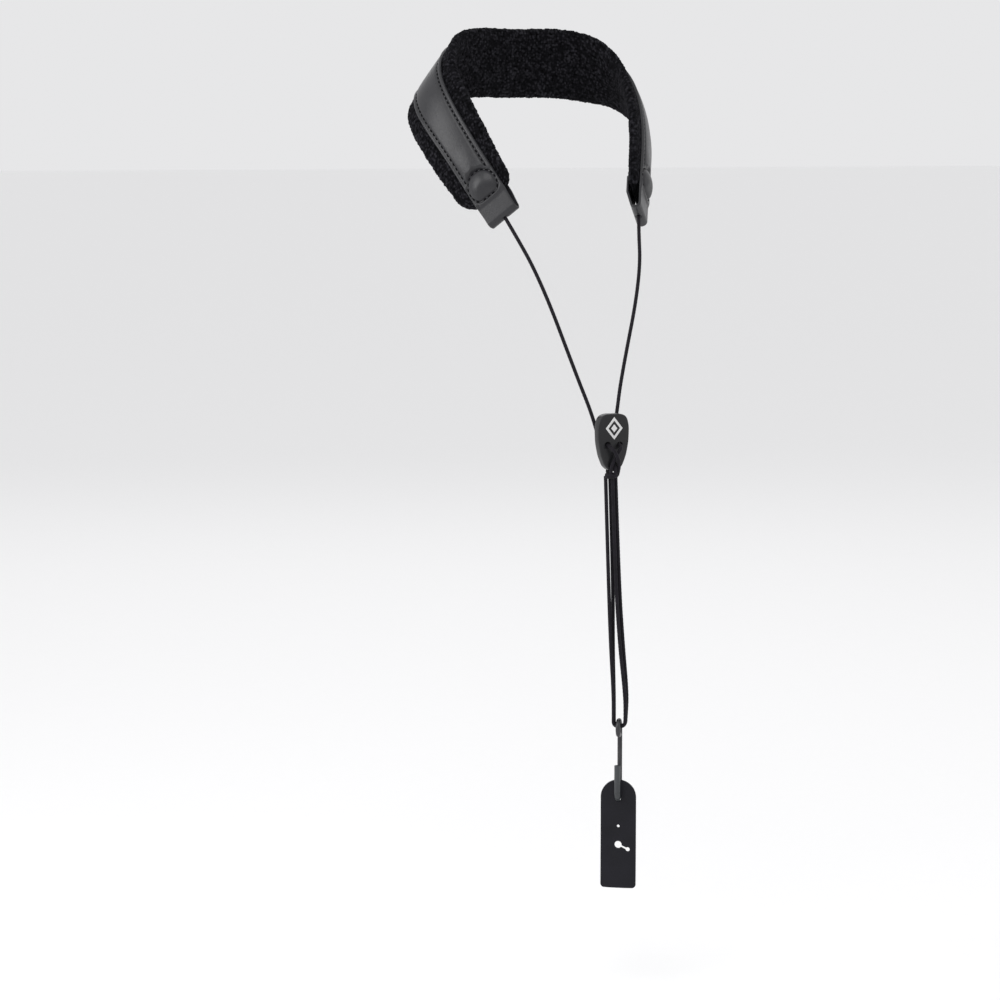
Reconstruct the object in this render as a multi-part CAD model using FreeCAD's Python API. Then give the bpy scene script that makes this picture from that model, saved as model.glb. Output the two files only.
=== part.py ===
"""Neck strap for a hand-held reed instrument: padded neck band, cord slider, wire hook and tab.

Frame: millimetres, +Z up, the chest side faces -Y, and +X is the wearer's left.
The origin is the point at the nape of the neck where the middle of the pad rests.
"""
import FreeCAD, Part
import math
import os
from FreeCAD import Placement, Vector

# ---- driving dimensions, millimetres and degrees ----

# path of the padded band round the neck
BAND_HALF_SPAN = 77.0       # centre plane to the widest point of the band's middle line
BAND_DEPTH = 97.0           # nape to the front ends, front to back
BAND_DROP = 99.5            # nape to the front ends, in height

# layers of the band, counted outwards from the skin
FLEECE_THICKNESS = 7.5
FLEECE_HALF_WIDTH = 24.5
FLEECE_WALL = 1.4
FLEECE_EDGE_RADIUS = 3.0
FLEECE_END_RADIUS = 12.0
FOAM_CLEARANCE = 0.2
LAYER_GAP = 0.15            # half of the gap between fleece and leather
LEATHER_THICKNESS = 1.5
LEATHER_HALF_WIDTH = 15.0
LEATHER_END_HALF_WIDTH = 13.0
TAPER_START = 90.0          # from the nape, where the leather starts to narrow

# folded leather loop at each end of the band
STRIP_END_BACK = 10.0       # the flat strip stops this far short of the fleece's end
LOOP_REACH = 13.6           # fold beyond the fleece's end
LOOP_INNER_RADIUS = 2.4
FLAP_UNDER_BAND = 14.0      # returning leaf sewn on the skin side
FLAP_GAP = 0.3
FLAP_SLOPE = 16.0
FLAP_EASE_RADIUS = 6.0

# domes and seams on the leather
DOME_RADIUS = 11.0
DOME_HEIGHT = 3.2
DOME_FROM_END = 13.0        # dome centre back from the fleece's end
DOME_SEAT = 0.3
SEAM_INSET = 3.4            # stitch line in from the leather's edge
THREAD_WIDTH = 0.7
THREAD_HEIGHT = 0.35
THREAD_SEAT = 0.2
STITCH_LENGTH = 2.0
RING_GAP = 0.5              # dome's foot to its ring of stitches
RING_LOWER_SIDE = 8.7       # the ring's straight lower side, from the dome's centre
RING_STITCHES = 14
LOWER_SIDE_STITCHES = 4
STITCH_PITCH = 3.9

# cord
CORD_DIAMETER = 2.6
CORD_HOLE_CLEARANCE = 0.2
KNOT_DIAMETER = 4.4
KNOT_LENGTH = 5.5
KNOT_EDGE = 1.0
KNOT_INTO_FOLD = 0.9        # the knot's front past the fold's centre

# slider, a shield-shaped plate that faces the front
SLIDER_Y = -158.0
SLIDER_TOP_Z = -238.5
SLIDER_HALF_WIDTH = 11.6
SLIDER_HEIGHT = 39.2
SLIDER_THICKNESS = 7.0
SLIDER_EDGE = 1.0
SLIDER_HOLE_X = 4.7
SLIDER_HOLE_DROP = 20.9
TIP_HOLE_RISE = 4.4         # tip hole above the slider's tip
EMBLEM_HEIGHT = 15.4
EMBLEM_HALF_WIDTH = 6.4
EMBLEM_RELIEF = 0.5
EMBLEM_DROP = 9.8

# wrap of cord under the slider's tip
WRAP_DROP = 0.5             # top of the wrap below the slider's tip
WRAP_HEIGHT = 4.8
WRAP_WIDTH = 9.4
WRAP_DEPTH = 8.6
WRAP_FORWARD = 2.0
TIP_LOOP_REACH = 3.0        # the loop through the tip hole stands this far off the plate

# hanging strands and the bends that carry the hook
HOOK_YAW = -125.0           # direction that the hook's mouth faces
EYE_DROP = 215.3            # slider's top to the eye's centre
EYE_FORWARD = 13.0          # slider's middle plane to the eye's centre
LOOP_SPACE = 0.2            # between the two loops of cord, along the hook's plane
STRAND_TOP_SPREAD = 2.2
BEND_SLACK = 0.65           # between the cord's bend and the wire in it
BEND_LEG = 3.0
STRAND_GAP = 0.15

# hook, one bent wire with a sleeve on its open prong
WIRE_DIAMETER = 3.3
EYE_INNER_RADIUS = 3.3
EYE_END_ANGLE = -108.0
HOOK_BEND_RADIUS = 6.0
HOOK_BEND_DROP = 43.2       # eye's centre to the bottom bend's centre
HOOK_BEND_SHIFT = 0.9       # puts the hanging weight right under the eye
PRONG_LENGTH = 17.5
SLEEVE_OUTER_DIAMETER = 4.2
SLEEVE_CLEARANCE = 0.05
SLEEVE_OVERHANG = 0.6
SLEEVE_END_ANGLE = -62.0

# tab, a flat leather plate that hangs on the hook
TAB_WIDTH = 24.5
TAB_LENGTH = 75.8
TAB_THICKNESS = 2.0
TAB_CORNER_RADIUS = 2.5
TAB_ABOVE_WIRE = 11.2       # leather above the hook's wire
TAB_HANG_RADIUS = 2.15
TAB_HANG_CLEARANCE = 0.25
PILOT_HOLE_RADIUS = 1.0
PILOT_HOLE_DROP = 32.5
BUTTON_HOLE_RADIUS = 2.5
BUTTON_HOLE_DROP = 45.5
KEY_END_RADIUS = 1.5
KEY_END_DROP = 48.6
KEY_END_SIDE = 6.6
KEY_SLIT_WIDTH = 1.4

# ---- the band's path: share of span, depth and drop, with the outward direction ----

BAND_PATH = (
    ((0.000, 0.000, 0.000), (0.00, 0.94, 0.33)),
    ((0.570, 0.085, 0.012), (0.34, 0.88, 0.31)),
    ((0.994, 0.317, 0.166), (0.86, 0.02, 0.50)),
    ((1.000, 0.637, 0.477), (0.81, -0.55, 0.20)),
    ((0.844, 0.875, 0.799), (0.79, -0.61, 0.08)),
    ((0.747, 1.000, 1.000), (0.81, -0.58, 0.09)),
)
STATION_STEP = 13.0         # between sections along the band
STRAIGHT_END = 38.0         # the last stretch of the band, under the dome and the fold, is straight

# cord routes on the +X side; the other side is the mirror image
UPPER_CORD_ROUTE = (
    (54.1, -92.1, -100.0),
    (50.0, -99.3, -110.6),
    (16.4, -139.5, -216.5),
    (9.8, -146.5, -238.5),
    (4.7, -149.7, -259.4),
    (4.7, -154.5, -259.4),
)
UNDER_CORD_ROUTE = (
    (4.7, -154.5, -259.4),
    (4.7, -166.0, -259.4),
    (0.6, -164.3, -266.5),
    (-3.2, -164.0, -273.5),
    (-2.6, -161.5, -280.5),
)
OVER_CORD_ROUTE = (
    (4.7, -154.5, -259.4),
    (4.7, -166.0, -259.4),
    (0.6, -168.1, -266.9),
    (-3.2, -164.3, -273.5),
    (-2.6, -161.5, -280.5),
)

Z_AXIS = Vector(0, 0, 1)
parts = {}


# ---- helpers ----

class BandPath:
    """The middle line of the band, where the fleece meets the leather, with its frame."""

    def __init__(self):
        nape = Vector(*BAND_PATH[0][1]).normalize() * FLEECE_THICKNESS
        points = []
        outward = []
        for (x, y, z), normal in BAND_PATH:
            points.append(nape + Vector(x * BAND_HALF_SPAN, -y * BAND_DEPTH, -z * BAND_DROP))
            outward.append(Vector(*normal).normalize())
        points = [mirrored(p) for p in reversed(points[1:])] + points
        outward = [mirrored(n) for n in reversed(outward[1:])] + outward
        knots = [0.0]
        for before, after in zip(points, points[1:]):
            knots.append(knots[-1] + (after - before).Length)
        self.line = Part.BSplineCurve()
        self.line.interpolate(Points=points, Parameters=knots)
        self.outward = Part.BSplineCurve()
        self.outward.interpolate(Points=outward, Parameters=knots)
        self.half_length = self.line.length() / 2.0

    def frame(self, along):
        """Origin, tangent, outward direction and direction to the lower edge, from the nape."""
        bent = max(-self.half_length + STRAIGHT_END, min(self.half_length - STRAIGHT_END, along))
        knot = self.line.parameterAtDistance(self.half_length + bent, self.line.FirstParameter)
        tangent = Vector(*self.line.tangent(knot)[0])
        normal = self.outward.value(knot)
        normal = normal - tangent * normal.dot(tangent)
        normal.normalize()
        origin = self.line.value(knot) + tangent * (along - bent)
        return origin, tangent, normal, normal.cross(tangent)


def mirrored(vector):
    return Vector(-vector.x, vector.y, vector.z)


def mirror_shape(shape):
    return shape.mirror(Vector(0, 0, 0), Vector(1, 0, 0))


def rectangle(half_width, low, high, corner=0.0):
    """Corner points of a section, or its rounded outline, as (width, height) pairs."""
    if corner <= 0.0:
        return [((-half_width, low), (half_width, low)), ((half_width, low), (half_width, high)),
                ((half_width, high), (-half_width, high)), ((-half_width, high), (-half_width, low))]
    w = half_width
    r = corner
    k = r * (1.0 - math.sqrt(0.5))
    return [((-w + r, low), (w - r, low)),
            ((w - r, low), (w - k, low + k), (w, low + r)),
            ((w, low + r), (w, high - r)),
            ((w, high - r), (w - k, high - k), (w - r, high)),
            ((w - r, high), (-w + r, high)),
            ((-w + r, high), (-w + k, high - k), (-w, high - r)),
            ((-w, high - r), (-w, low + r)),
            ((-w, low + r), (-w + k, low + k), (-w + r, low))]


def band_wire(path, along, outline):
    """The outline placed square across the band at one station."""
    origin, _, normal, across = path.frame(along)
    edges = []
    for piece in outline:
        points = [origin + across * w + normal * n for w, n in piece]
        if len(points) == 2:
            edges.append(Part.LineSegment(*points).toShape())
        else:
            edges.append(Part.Arc(*points).toShape())
    return Part.Wire(edges)


def band_loft(path, reach, outline_at):
    """A layer of the band from -reach to +reach, with outline_at(distance) as its section."""
    inner = [i * STATION_STEP for i in range(1, int(reach / STATION_STEP) + 1)
             if i * STATION_STEP < reach - STATION_STEP / 4.0]
    stations = [-reach] + [-s for s in reversed(inner)] + [0.0] + inner + [reach]
    wires = [band_wire(path, s, outline_at(abs(s))) for s in stations]
    return Part.makeLoft(wires, True, False)


def local(origin, tangent, normal, across):
    """Placement with X along the band, Y down across it and Z outwards."""
    matrix = FreeCAD.Matrix(tangent.x, across.x, normal.x, origin.x,
                            tangent.y, across.y, normal.y, origin.y,
                            tangent.z, across.z, normal.z, origin.z,
                            0, 0, 0, 1)
    return Placement(matrix)


def round_corners(points, share=0.45):
    """Straight runs joined by tangent arcs, each as large as its two runs allow."""
    vectors = [Vector(*p) for p in points]
    edges = []
    radii = []
    start = vectors[0]
    for before, corner, after in zip(vectors, vectors[1:], vectors[2:]):
        back = (before - corner)
        ahead = (after - corner)
        shorter = min(back.Length, ahead.Length)
        trim = share * shorter
        half_turn = (math.pi - back.getAngle(ahead)) / 2.0
        radius = trim / math.tan(half_turn)
        back.normalize()
        ahead.normalize()
        arc_start = corner + back * trim
        arc_end = corner + ahead * trim
        middle = (back + ahead).normalize()
        arc_middle = corner + middle * (radius / math.cos(half_turn) - radius)
        edges.append(Part.LineSegment(start, arc_start).toShape())
        edges.append(Part.Arc(arc_start, arc_middle, arc_end).toShape())
        radii.append(round(radius, 1))
        start = arc_end
    edges.append(Part.LineSegment(start, vectors[-1]).toShape())
    return Part.Wire(edges), radii


def tube(wire, diameter):
    """A round bar along the wire."""
    first = wire.OrderedEdges[0]
    start = first.valueAt(first.FirstParameter)
    heading = first.tangentAt(first.FirstParameter)
    if (wire.OrderedVertexes[0].Point - start).Length > 1e-6:
        start = first.valueAt(first.LastParameter)
        heading = first.tangentAt(first.LastParameter) * -1
    section = Part.Wire(Part.makeCircle(diameter / 2.0, start, heading))
    return wire.makePipeShell([section], True, True)


def cord(name, route):
    wire, radii = round_corners(route)
    solid = tube(wire, CORD_DIAMETER)
    expected = wire.Length * math.pi * CORD_DIAMETER ** 2 / 4.0
    print(name, "length", round(wire.Length, 1), "radii", radii,
          "volume share", round(solid.Volume / expected, 4))
    return solid


def mirrored_route(route):
    return [(-x, y, z) for x, y, z in route]


def ribbon(start, moves, thickness):
    """Flat band profile: a walk of ("line", length) and ("arc", radius, turn) moves."""
    half = thickness / 2.0
    heading = 0.0
    x, y = start
    left = []
    right = []

    def side(px, py, angle, offset):
        return Vector(px - math.sin(angle) * offset, py + math.cos(angle) * offset, 0)

    for move in moves:
        if move[0] == "line":
            nx = x + math.cos(heading) * move[1]
            ny = y + math.sin(heading) * move[1]
            left.append((side(x, y, heading, half), side(nx, ny, heading, half)))
            right.append((side(x, y, heading, -half), side(nx, ny, heading, -half)))
            x, y = nx, ny
            continue
        radius, turn = move[1], math.radians(move[2])
        way = math.copysign(1.0, turn)
        cx = x - math.sin(heading) * radius * way
        cy = y + math.cos(heading) * radius * way
        stops = []
        for part_turn in (0.0, turn / 2.0, turn):
            angle = heading + part_turn
            stops.append((cx + math.sin(angle) * radius * way, cy - math.cos(angle) * radius * way, angle))
        left.append(tuple(side(px, py, angle, half) for px, py, angle in stops))
        right.append(tuple(side(px, py, angle, -half) for px, py, angle in stops))
        x, y, heading = stops[-1]
    edges = [curve_edge(points) for points in left]
    edges.append(curve_edge((left[-1][-1], right[-1][-1])))
    edges += [curve_edge(tuple(reversed(points))) for points in reversed(right)]
    edges.append(curve_edge((right[0][0], left[0][0])))
    return Part.Face(Part.Wire(edges))


def curve_edge(points):
    if len(points) == 2:
        return Part.LineSegment(*points).toShape()
    return Part.Arc(*points).toShape()


# ---- padded band ----

path = BandPath()
band_end = path.half_length
strip_end = band_end - STRIP_END_BACK
end_origin, end_tangent, end_normal, end_across = path.frame(strip_end)
end_place = local(end_origin, end_tangent, end_normal, end_across)


def leather_half_width(along):
    """Full width at the nape and sides, tapering over the front stretch."""
    share = max(0.0, min(1.0, (along - TAPER_START) / (band_end - STRAIGHT_END - TAPER_START)))
    eased = share * share * (3.0 - 2.0 * share)
    return LEATHER_HALF_WIDTH + (LEATHER_END_HALF_WIDTH - LEATHER_HALF_WIDTH) * eased


def make_fleece_and_foam():
    low = -FLEECE_THICKNESS
    high = -LAYER_GAP
    outer = band_loft(path, band_end,
                      lambda s: rectangle(FLEECE_HALF_WIDTH, low, high, FLEECE_EDGE_RADIUS))
    corners = plan_cutters(band_end, FLEECE_HALF_WIDTH, FLEECE_END_RADIUS)
    outer = outer.cut(corners)
    inner_half = FLEECE_HALF_WIDTH - FLEECE_WALL
    inner_reach = band_end - FLEECE_WALL
    cavity = band_loft(path, inner_reach,
                       lambda s: rectangle(inner_half, low + FLEECE_WALL, high - FLEECE_WALL, 1.5))
    inner_corner = FLEECE_END_RADIUS - FLEECE_WALL
    cavity = cavity.cut(plan_cutters(inner_reach, inner_half, inner_corner))
    parts["fleece_cover"] = outer.cut(cavity)
    foam_half = inner_half - FOAM_CLEARANCE
    foam_reach = inner_reach - FOAM_CLEARANCE
    foam = band_loft(path, foam_reach,
                     lambda s: rectangle(foam_half, low + FLEECE_WALL + FOAM_CLEARANCE,
                                         high - FLEECE_WALL - FOAM_CLEARANCE, 1.2))
    foam_corner = inner_corner - FOAM_CLEARANCE
    parts["foam_core"] = foam.cut(plan_cutters(foam_reach, foam_half, foam_corner))


def plan_cutters(reach, half_width, radius):
    """What is cut away to round the four plan corners of a layer of the band."""
    origin, tangent, normal, across = path.frame(reach)
    place = local(origin, tangent, normal, across)
    margin = 6.0
    tall = 2.0 * (FLEECE_THICKNESS + margin)
    low = -tall / 2.0
    block = Part.makeBox(radius + margin, 2 * (half_width + margin), tall,
                         Vector(-radius, -half_width - margin, low))
    keep = Part.makeBox(2 * radius, 2 * (half_width - radius), tall + 2 * margin,
                        Vector(-2 * radius, -half_width + radius, low - margin))
    for side in (-1, 1):
        centre = Vector(-radius, side * (half_width - radius), low - margin)
        keep = keep.fuse(Part.makeCylinder(radius, tall + 2 * margin, centre))
    cutter = block.cut(keep)
    cutter.Placement = place
    return cutter.fuse(mirror_shape(cutter))


def make_leather():
    low = LAYER_GAP
    high = LAYER_GAP + LEATHER_THICKNESS
    strip = band_loft(path, strip_end, lambda s: rectangle(leather_half_width(s), low, high))
    centre_radius = LOOP_INNER_RADIUS + LEATHER_THICKNESS / 2.0
    start_height = LAYER_GAP + LEATHER_THICKNESS / 2.0
    flap_height = -FLEECE_THICKNESS - FLAP_GAP - LEATHER_THICKNESS / 2.0
    slope = math.radians(FLAP_SLOPE)
    reach = STRIP_END_BACK + LOOP_REACH - LOOP_INNER_RADIUS - LEATHER_THICKNESS
    fold_end_height = start_height - centre_radius * (1.0 + math.cos(slope))
    ease_drop = FLAP_EASE_RADIUS * (1.0 - math.cos(slope))
    slant = (fold_end_height - flap_height - ease_drop) / math.sin(slope)
    flap_start = (reach + centre_radius * math.sin(slope) - slant * math.cos(slope)
                  - FLAP_EASE_RADIUS * math.sin(slope))
    moves = (("line", reach), ("arc", centre_radius, -(180.0 - FLAP_SLOPE)), ("line", slant),
             ("arc", FLAP_EASE_RADIUS, -FLAP_SLOPE), ("line", flap_start + FLAP_UNDER_BAND - STRIP_END_BACK))
    profile = ribbon((0.0, start_height), moves, LEATHER_THICKNESS)
    profile.rotate(Vector(0, 0, 0), Vector(1, 0, 0), 90.0)
    profile.translate(Vector(0, LEATHER_END_HALF_WIDTH, 0))
    loop = profile.extrude(Vector(0, -2.0 * LEATHER_END_HALF_WIDTH, 0))
    hole = Part.makeCylinder(CORD_DIAMETER / 2.0 + CORD_HOLE_CLEARANCE, LOOP_REACH,
                             Vector(reach, 0, start_height - centre_radius), Vector(1, 0, 0))
    loop = loop.cut(hole)
    loop.Placement = end_place
    parts["leather_band"] = strip.fuse([loop, mirror_shape(loop)])
    knot_x = reach + KNOT_INTO_FOLD - KNOT_LENGTH
    knot = Part.makeCylinder(KNOT_DIAMETER / 2.0, KNOT_LENGTH,
                             Vector(knot_x, 0, start_height - centre_radius), Vector(1, 0, 0))
    rims = [edge for edge in knot.Edges if edge.BoundBox.XLength < 1e-3]
    knot = knot.makeFillet(KNOT_EDGE, rims)
    knot.Placement = end_place
    return knot


def dome_and_seams():
    """Padded dome and its ring of stitches with a straight lower side, on the +X side."""
    surface = LAYER_GAP + LEATHER_THICKNESS
    origin, tangent, normal, across = path.frame(band_end - DOME_FROM_END)
    place = local(origin, tangent, normal, across)
    sphere_radius = (DOME_RADIUS ** 2 + DOME_HEIGHT ** 2) / (2.0 * DOME_HEIGHT)
    base = surface + DOME_SEAT
    ball = Part.makeSphere(sphere_radius, Vector(0, 0, base + DOME_HEIGHT - sphere_radius))
    reach = 2.0 * DOME_RADIUS
    slab = Part.makeBox(reach + RING_LOWER_SIDE - RING_GAP, 2.0 * reach, reach, Vector(-reach, -reach, base))
    dome = ball.common(slab)
    dome.Placement = place
    stitches = []
    ring = DOME_RADIUS + RING_GAP
    corner = math.degrees(math.acos((RING_LOWER_SIDE + THREAD_WIDTH) / ring) + STITCH_LENGTH / ring)
    for i in range(RING_STITCHES):
        angle = corner + (360.0 - 2.0 * corner) * i / (RING_STITCHES - 1)
        stitch = Part.makeBox(THREAD_WIDTH, STITCH_LENGTH, THREAD_HEIGHT,
                              Vector(ring, -STITCH_LENGTH / 2.0, base))
        stitch.rotate(Vector(0, 0, 0), Z_AXIS, angle)
        stitches.append(stitch)
    for i in range(LOWER_SIDE_STITCHES):
        across = (i - (LOWER_SIDE_STITCHES - 1) / 2.0) * STITCH_PITCH
        stitches.append(Part.makeBox(THREAD_WIDTH, STITCH_LENGTH, THREAD_HEIGHT,
                                     Vector(RING_LOWER_SIDE, across - STITCH_LENGTH / 2.0, base)))
    seams = Part.makeCompound(stitches)
    seams.Placement = place
    return dome, seams


def edge_thread(side):
    """One seam's thread along an edge of the leather."""
    low = LAYER_GAP + LEATHER_THICKNESS + THREAD_SEAT
    half = THREAD_WIDTH / 2.0
    reach = band_end - DOME_FROM_END - DOME_RADIUS

    def section(along):
        middle = side * (leather_half_width(along) - SEAM_INSET)
        return [((middle - half, low), (middle + half, low)),
                ((middle + half, low), (middle + half, low + THREAD_HEIGHT)),
                ((middle + half, low + THREAD_HEIGHT), (middle - half, low + THREAD_HEIGHT)),
                ((middle - half, low + THREAD_HEIGHT), (middle - half, low))]

    return band_loft(path, reach, section)


def make_band():
    make_fleece_and_foam()
    knot = make_leather().cut(parts["upper_cord_left"])
    parts["cord_knot_left"] = knot
    parts["cord_knot_right"] = mirror_shape(knot)
    dome, seams = dome_and_seams()
    parts["dome_cap_left"] = dome
    parts["dome_cap_right"] = mirror_shape(dome)
    parts["dome_stitching_left"] = seams
    parts["dome_stitching_right"] = mirror_shape(seams)
    parts["edge_stitching_upper"] = edge_thread(-1)
    parts["edge_stitching_lower"] = edge_thread(1)


# ---- cords ----

def beyond(height, way):
    """A block of space above or below a level, to trim a cord flat where it meets the wrap."""
    size = SLIDER_HEIGHT
    low = height if way > 0 else height - size
    return Part.makeBox(size, size, size, Vector(-size / 2.0, SLIDER_Y - size / 2.0, low))


def make_cords():
    upper = cord("upper_cord", UPPER_CORD_ROUTE)
    parts["upper_cord_left"] = upper
    parts["upper_cord_right"] = mirror_shape(upper)
    below_wrap_top = beyond(SLIDER_TOP_Z - SLIDER_HEIGHT - WRAP_DROP, -1)
    under = cord("crossing_cord_under", UNDER_CORD_ROUTE)
    over = cord("crossing_cord_over", mirrored_route(OVER_CORD_ROUTE))
    parts["crossing_cord_under"] = under.cut(below_wrap_top)
    parts["crossing_cord_over"] = over.cut(below_wrap_top)


# ---- slider ----

def make_slider():
    half = SLIDER_HALF_WIDTH
    tall = SLIDER_HEIGHT
    shape = ((0.0, 0.0), (0.55, -0.01), (0.80, -0.05), (0.95, -0.14), (1.0, -0.38), (0.90, -0.62),
             (0.71, -0.81), (0.44, -0.945), (0.0, -1.0))
    right = [Vector(x * half, 0, z * tall) for x, z in shape]
    left = [mirrored(p) for p in reversed(right[1:-1])]
    outline = Part.BSplineCurve()
    outline.interpolate(Points=right + left, PeriodicFlag=True)
    plate = Part.Face(Part.Wire(outline.toShape()))
    plate.translate(Vector(0, SLIDER_Y - SLIDER_THICKNESS / 2.0, SLIDER_TOP_Z))
    body = plate.extrude(Vector(0, SLIDER_THICKNESS, 0))
    rim = [edge for edge in body.Edges
           if edge.BoundBox.YLength < 1e-3 and edge.Length > 20.0]
    body = body.makeFillet(SLIDER_EDGE, rim)
    through = 2.0 * SLIDER_THICKNESS
    radius = CORD_DIAMETER / 2.0 + CORD_HOLE_CLEARANCE
    back = SLIDER_Y - through / 2.0
    spots = ((-SLIDER_HOLE_X, SLIDER_TOP_Z - SLIDER_HOLE_DROP),
             (SLIDER_HOLE_X, SLIDER_TOP_Z - SLIDER_HOLE_DROP),
             (0.0, SLIDER_TOP_Z - SLIDER_HEIGHT + TIP_HOLE_RISE))
    for x, z in spots:
        body = body.cut(Part.makeCylinder(radius, through, Vector(x, back, z), Vector(0, 1, 0)))
    parts["slider_body"] = body
    front = SLIDER_Y - SLIDER_THICKNESS / 2.0
    top = SLIDER_TOP_Z - EMBLEM_DROP + EMBLEM_HEIGHT / 2.0
    bottom = top - EMBLEM_HEIGHT
    middle = (top + bottom) / 2.0
    lozenge = Part.makePolygon([Vector(0, front, top), Vector(EMBLEM_HALF_WIDTH, front, middle),
                                Vector(0, front, bottom), Vector(-EMBLEM_HALF_WIDTH, front, middle),
                                Vector(0, front, top)])
    parts["slider_emblem"] = Part.Face(lozenge).extrude(Vector(0, -EMBLEM_RELIEF, 0))


def make_tip_hitch():
    """The cord's wrap below the tip, with the loop that goes through the tip hole."""
    tip = SLIDER_TOP_Z - SLIDER_HEIGHT
    top = tip - WRAP_DROP
    centre_y = SLIDER_Y - WRAP_FORWARD
    wrap = Part.makeBox(WRAP_WIDTH, WRAP_DEPTH, WRAP_HEIGHT,
                        Vector(-WRAP_WIDTH / 2.0, centre_y - WRAP_DEPTH / 2.0, top - WRAP_HEIGHT))
    upright = [edge for edge in wrap.Edges if edge.BoundBox.ZLength > WRAP_HEIGHT / 2.0]
    wrap = wrap.makeFillet(0.42 * min(WRAP_WIDTH, WRAP_DEPTH), upright)
    bend = TIP_LOOP_REACH
    half = SLIDER_THICKNESS / 2.0 + bend
    high = tip + TIP_HOLE_RISE
    low = top - WRAP_HEIGHT / 2.0
    corners = ((half, high), (half, low), (-half, low), (-half, high))
    edges = []
    for i, (y, z) in enumerate(corners):
        after = corners[(i + 1) % 4]
        before = corners[i - 1]
        corner = Vector(0, SLIDER_Y + y, z)
        back = (Vector(0, SLIDER_Y + before[0], before[1]) - corner)
        ahead = (Vector(0, SLIDER_Y + after[0], after[1]) - corner)
        run = ahead.Length
        back.normalize()
        ahead.normalize()
        inside = (back + ahead).normalize() * (bend * (math.sqrt(2.0) - 1.0))
        edges.append(Part.Arc(corner + back * bend, corner + inside, corner + ahead * bend).toShape())
        edges.append(Part.LineSegment(corner + ahead * bend, corner + ahead * (run - bend)).toShape())
    ring_wire = Part.Wire(Part.__sortEdges__(edges))
    line = [e for e in edges if abs(e.CenterOfMass.z - high) < 1e-6][0]
    section = Part.Wire(Part.makeCircle(CORD_DIAMETER / 2.0, line.valueAt(line.FirstParameter),
                                        Vector(0, 1, 0)))
    ring = ring_wire.makePipeShell([section], True, True)
    parts["tip_hitch"] = wrap.fuse(ring)


def from_base(base, along, across, height):
    """Point at an offset along the hook's plane, across it and up from a base point."""
    yaw = math.radians(HOOK_YAW)
    return base + Vector(along * math.cos(yaw) - across * math.sin(yaw),
                         along * math.sin(yaw) + across * math.cos(yaw), height)


def eye_centre():
    return Vector(0, SLIDER_Y - EYE_FORWARD, SLIDER_TOP_Z - EYE_DROP)


def wrap_foot():
    return Vector(0, SLIDER_Y - WRAP_FORWARD,
                  SLIDER_TOP_Z - SLIDER_HEIGHT - WRAP_DROP - WRAP_HEIGHT)


def make_strands():
    """Two loops of cord from the wrap down to the hook's eye: straight strands and U bends."""
    eye_radius = EYE_INNER_RADIUS + WIRE_DIAMETER / 2.0
    loop_offset = (CORD_DIAMETER + LOOP_SPACE) / 2.0
    bend_radius = (WIRE_DIAMETER + CORD_DIAMETER) / 2.0 + BEND_SLACK
    bend_height = math.sqrt(eye_radius ** 2 - loop_offset ** 2)
    leg_top = bend_height + BEND_LEG
    eye = eye_centre()
    for name, offset in (("front", loop_offset), ("back", -loop_offset)):
        strands = []
        for side in (-1, 1):
            top = from_base(wrap_foot(), offset, side * STRAND_TOP_SPREAD, 0.0)
            bottom = from_base(eye, offset, side * bend_radius, leg_top + STRAND_GAP)
            run = (top - bottom).normalize()
            wire = Part.Wire(Part.LineSegment(top + run * CORD_DIAMETER, bottom).toShape())
            strands.append(tube(wire, CORD_DIAMETER).cut(beyond(wrap_foot().z, 1)))
        parts["hanging_strands_" + name] = Part.makeCompound(strands)
        print("hanging_strands_" + name, "length", round((top - bottom).Length, 1))
        ends = [from_base(eye, offset, side * bend_radius, leg_top) for side in (-1, 1)]
        tops = [from_base(eye, offset, side * bend_radius, bend_height) for side in (-1, 1)]
        lowest = from_base(eye, offset, 0, bend_height - bend_radius)
        bend = Part.Wire([Part.LineSegment(ends[0], tops[0]).toShape(),
                          Part.Arc(tops[0], lowest, tops[1]).toShape(),
                          Part.LineSegment(tops[1], ends[1]).toShape()])
        parts["eye_bend_" + name] = tube(bend, CORD_DIAMETER)


# ---- hook and tab ----

def arc_between(centre, radius, start, end):
    """Arc in the hook's XZ plane, angles in degrees from the mouth side."""
    points = []
    for angle in (start, (start + end) / 2.0, end):
        turn = math.radians(angle)
        points.append(Vector(centre[0] + radius * math.cos(turn), 0,
                             centre[1] + radius * math.sin(turn)))
    return Part.Arc(*points).toShape()


def place_on_hook(shape):
    """From the hook's own frame to the strap's."""
    shape.rotate(Vector(0, 0, 0), Z_AXIS, HOOK_YAW)
    shape.translate(eye_centre())
    return shape


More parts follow.
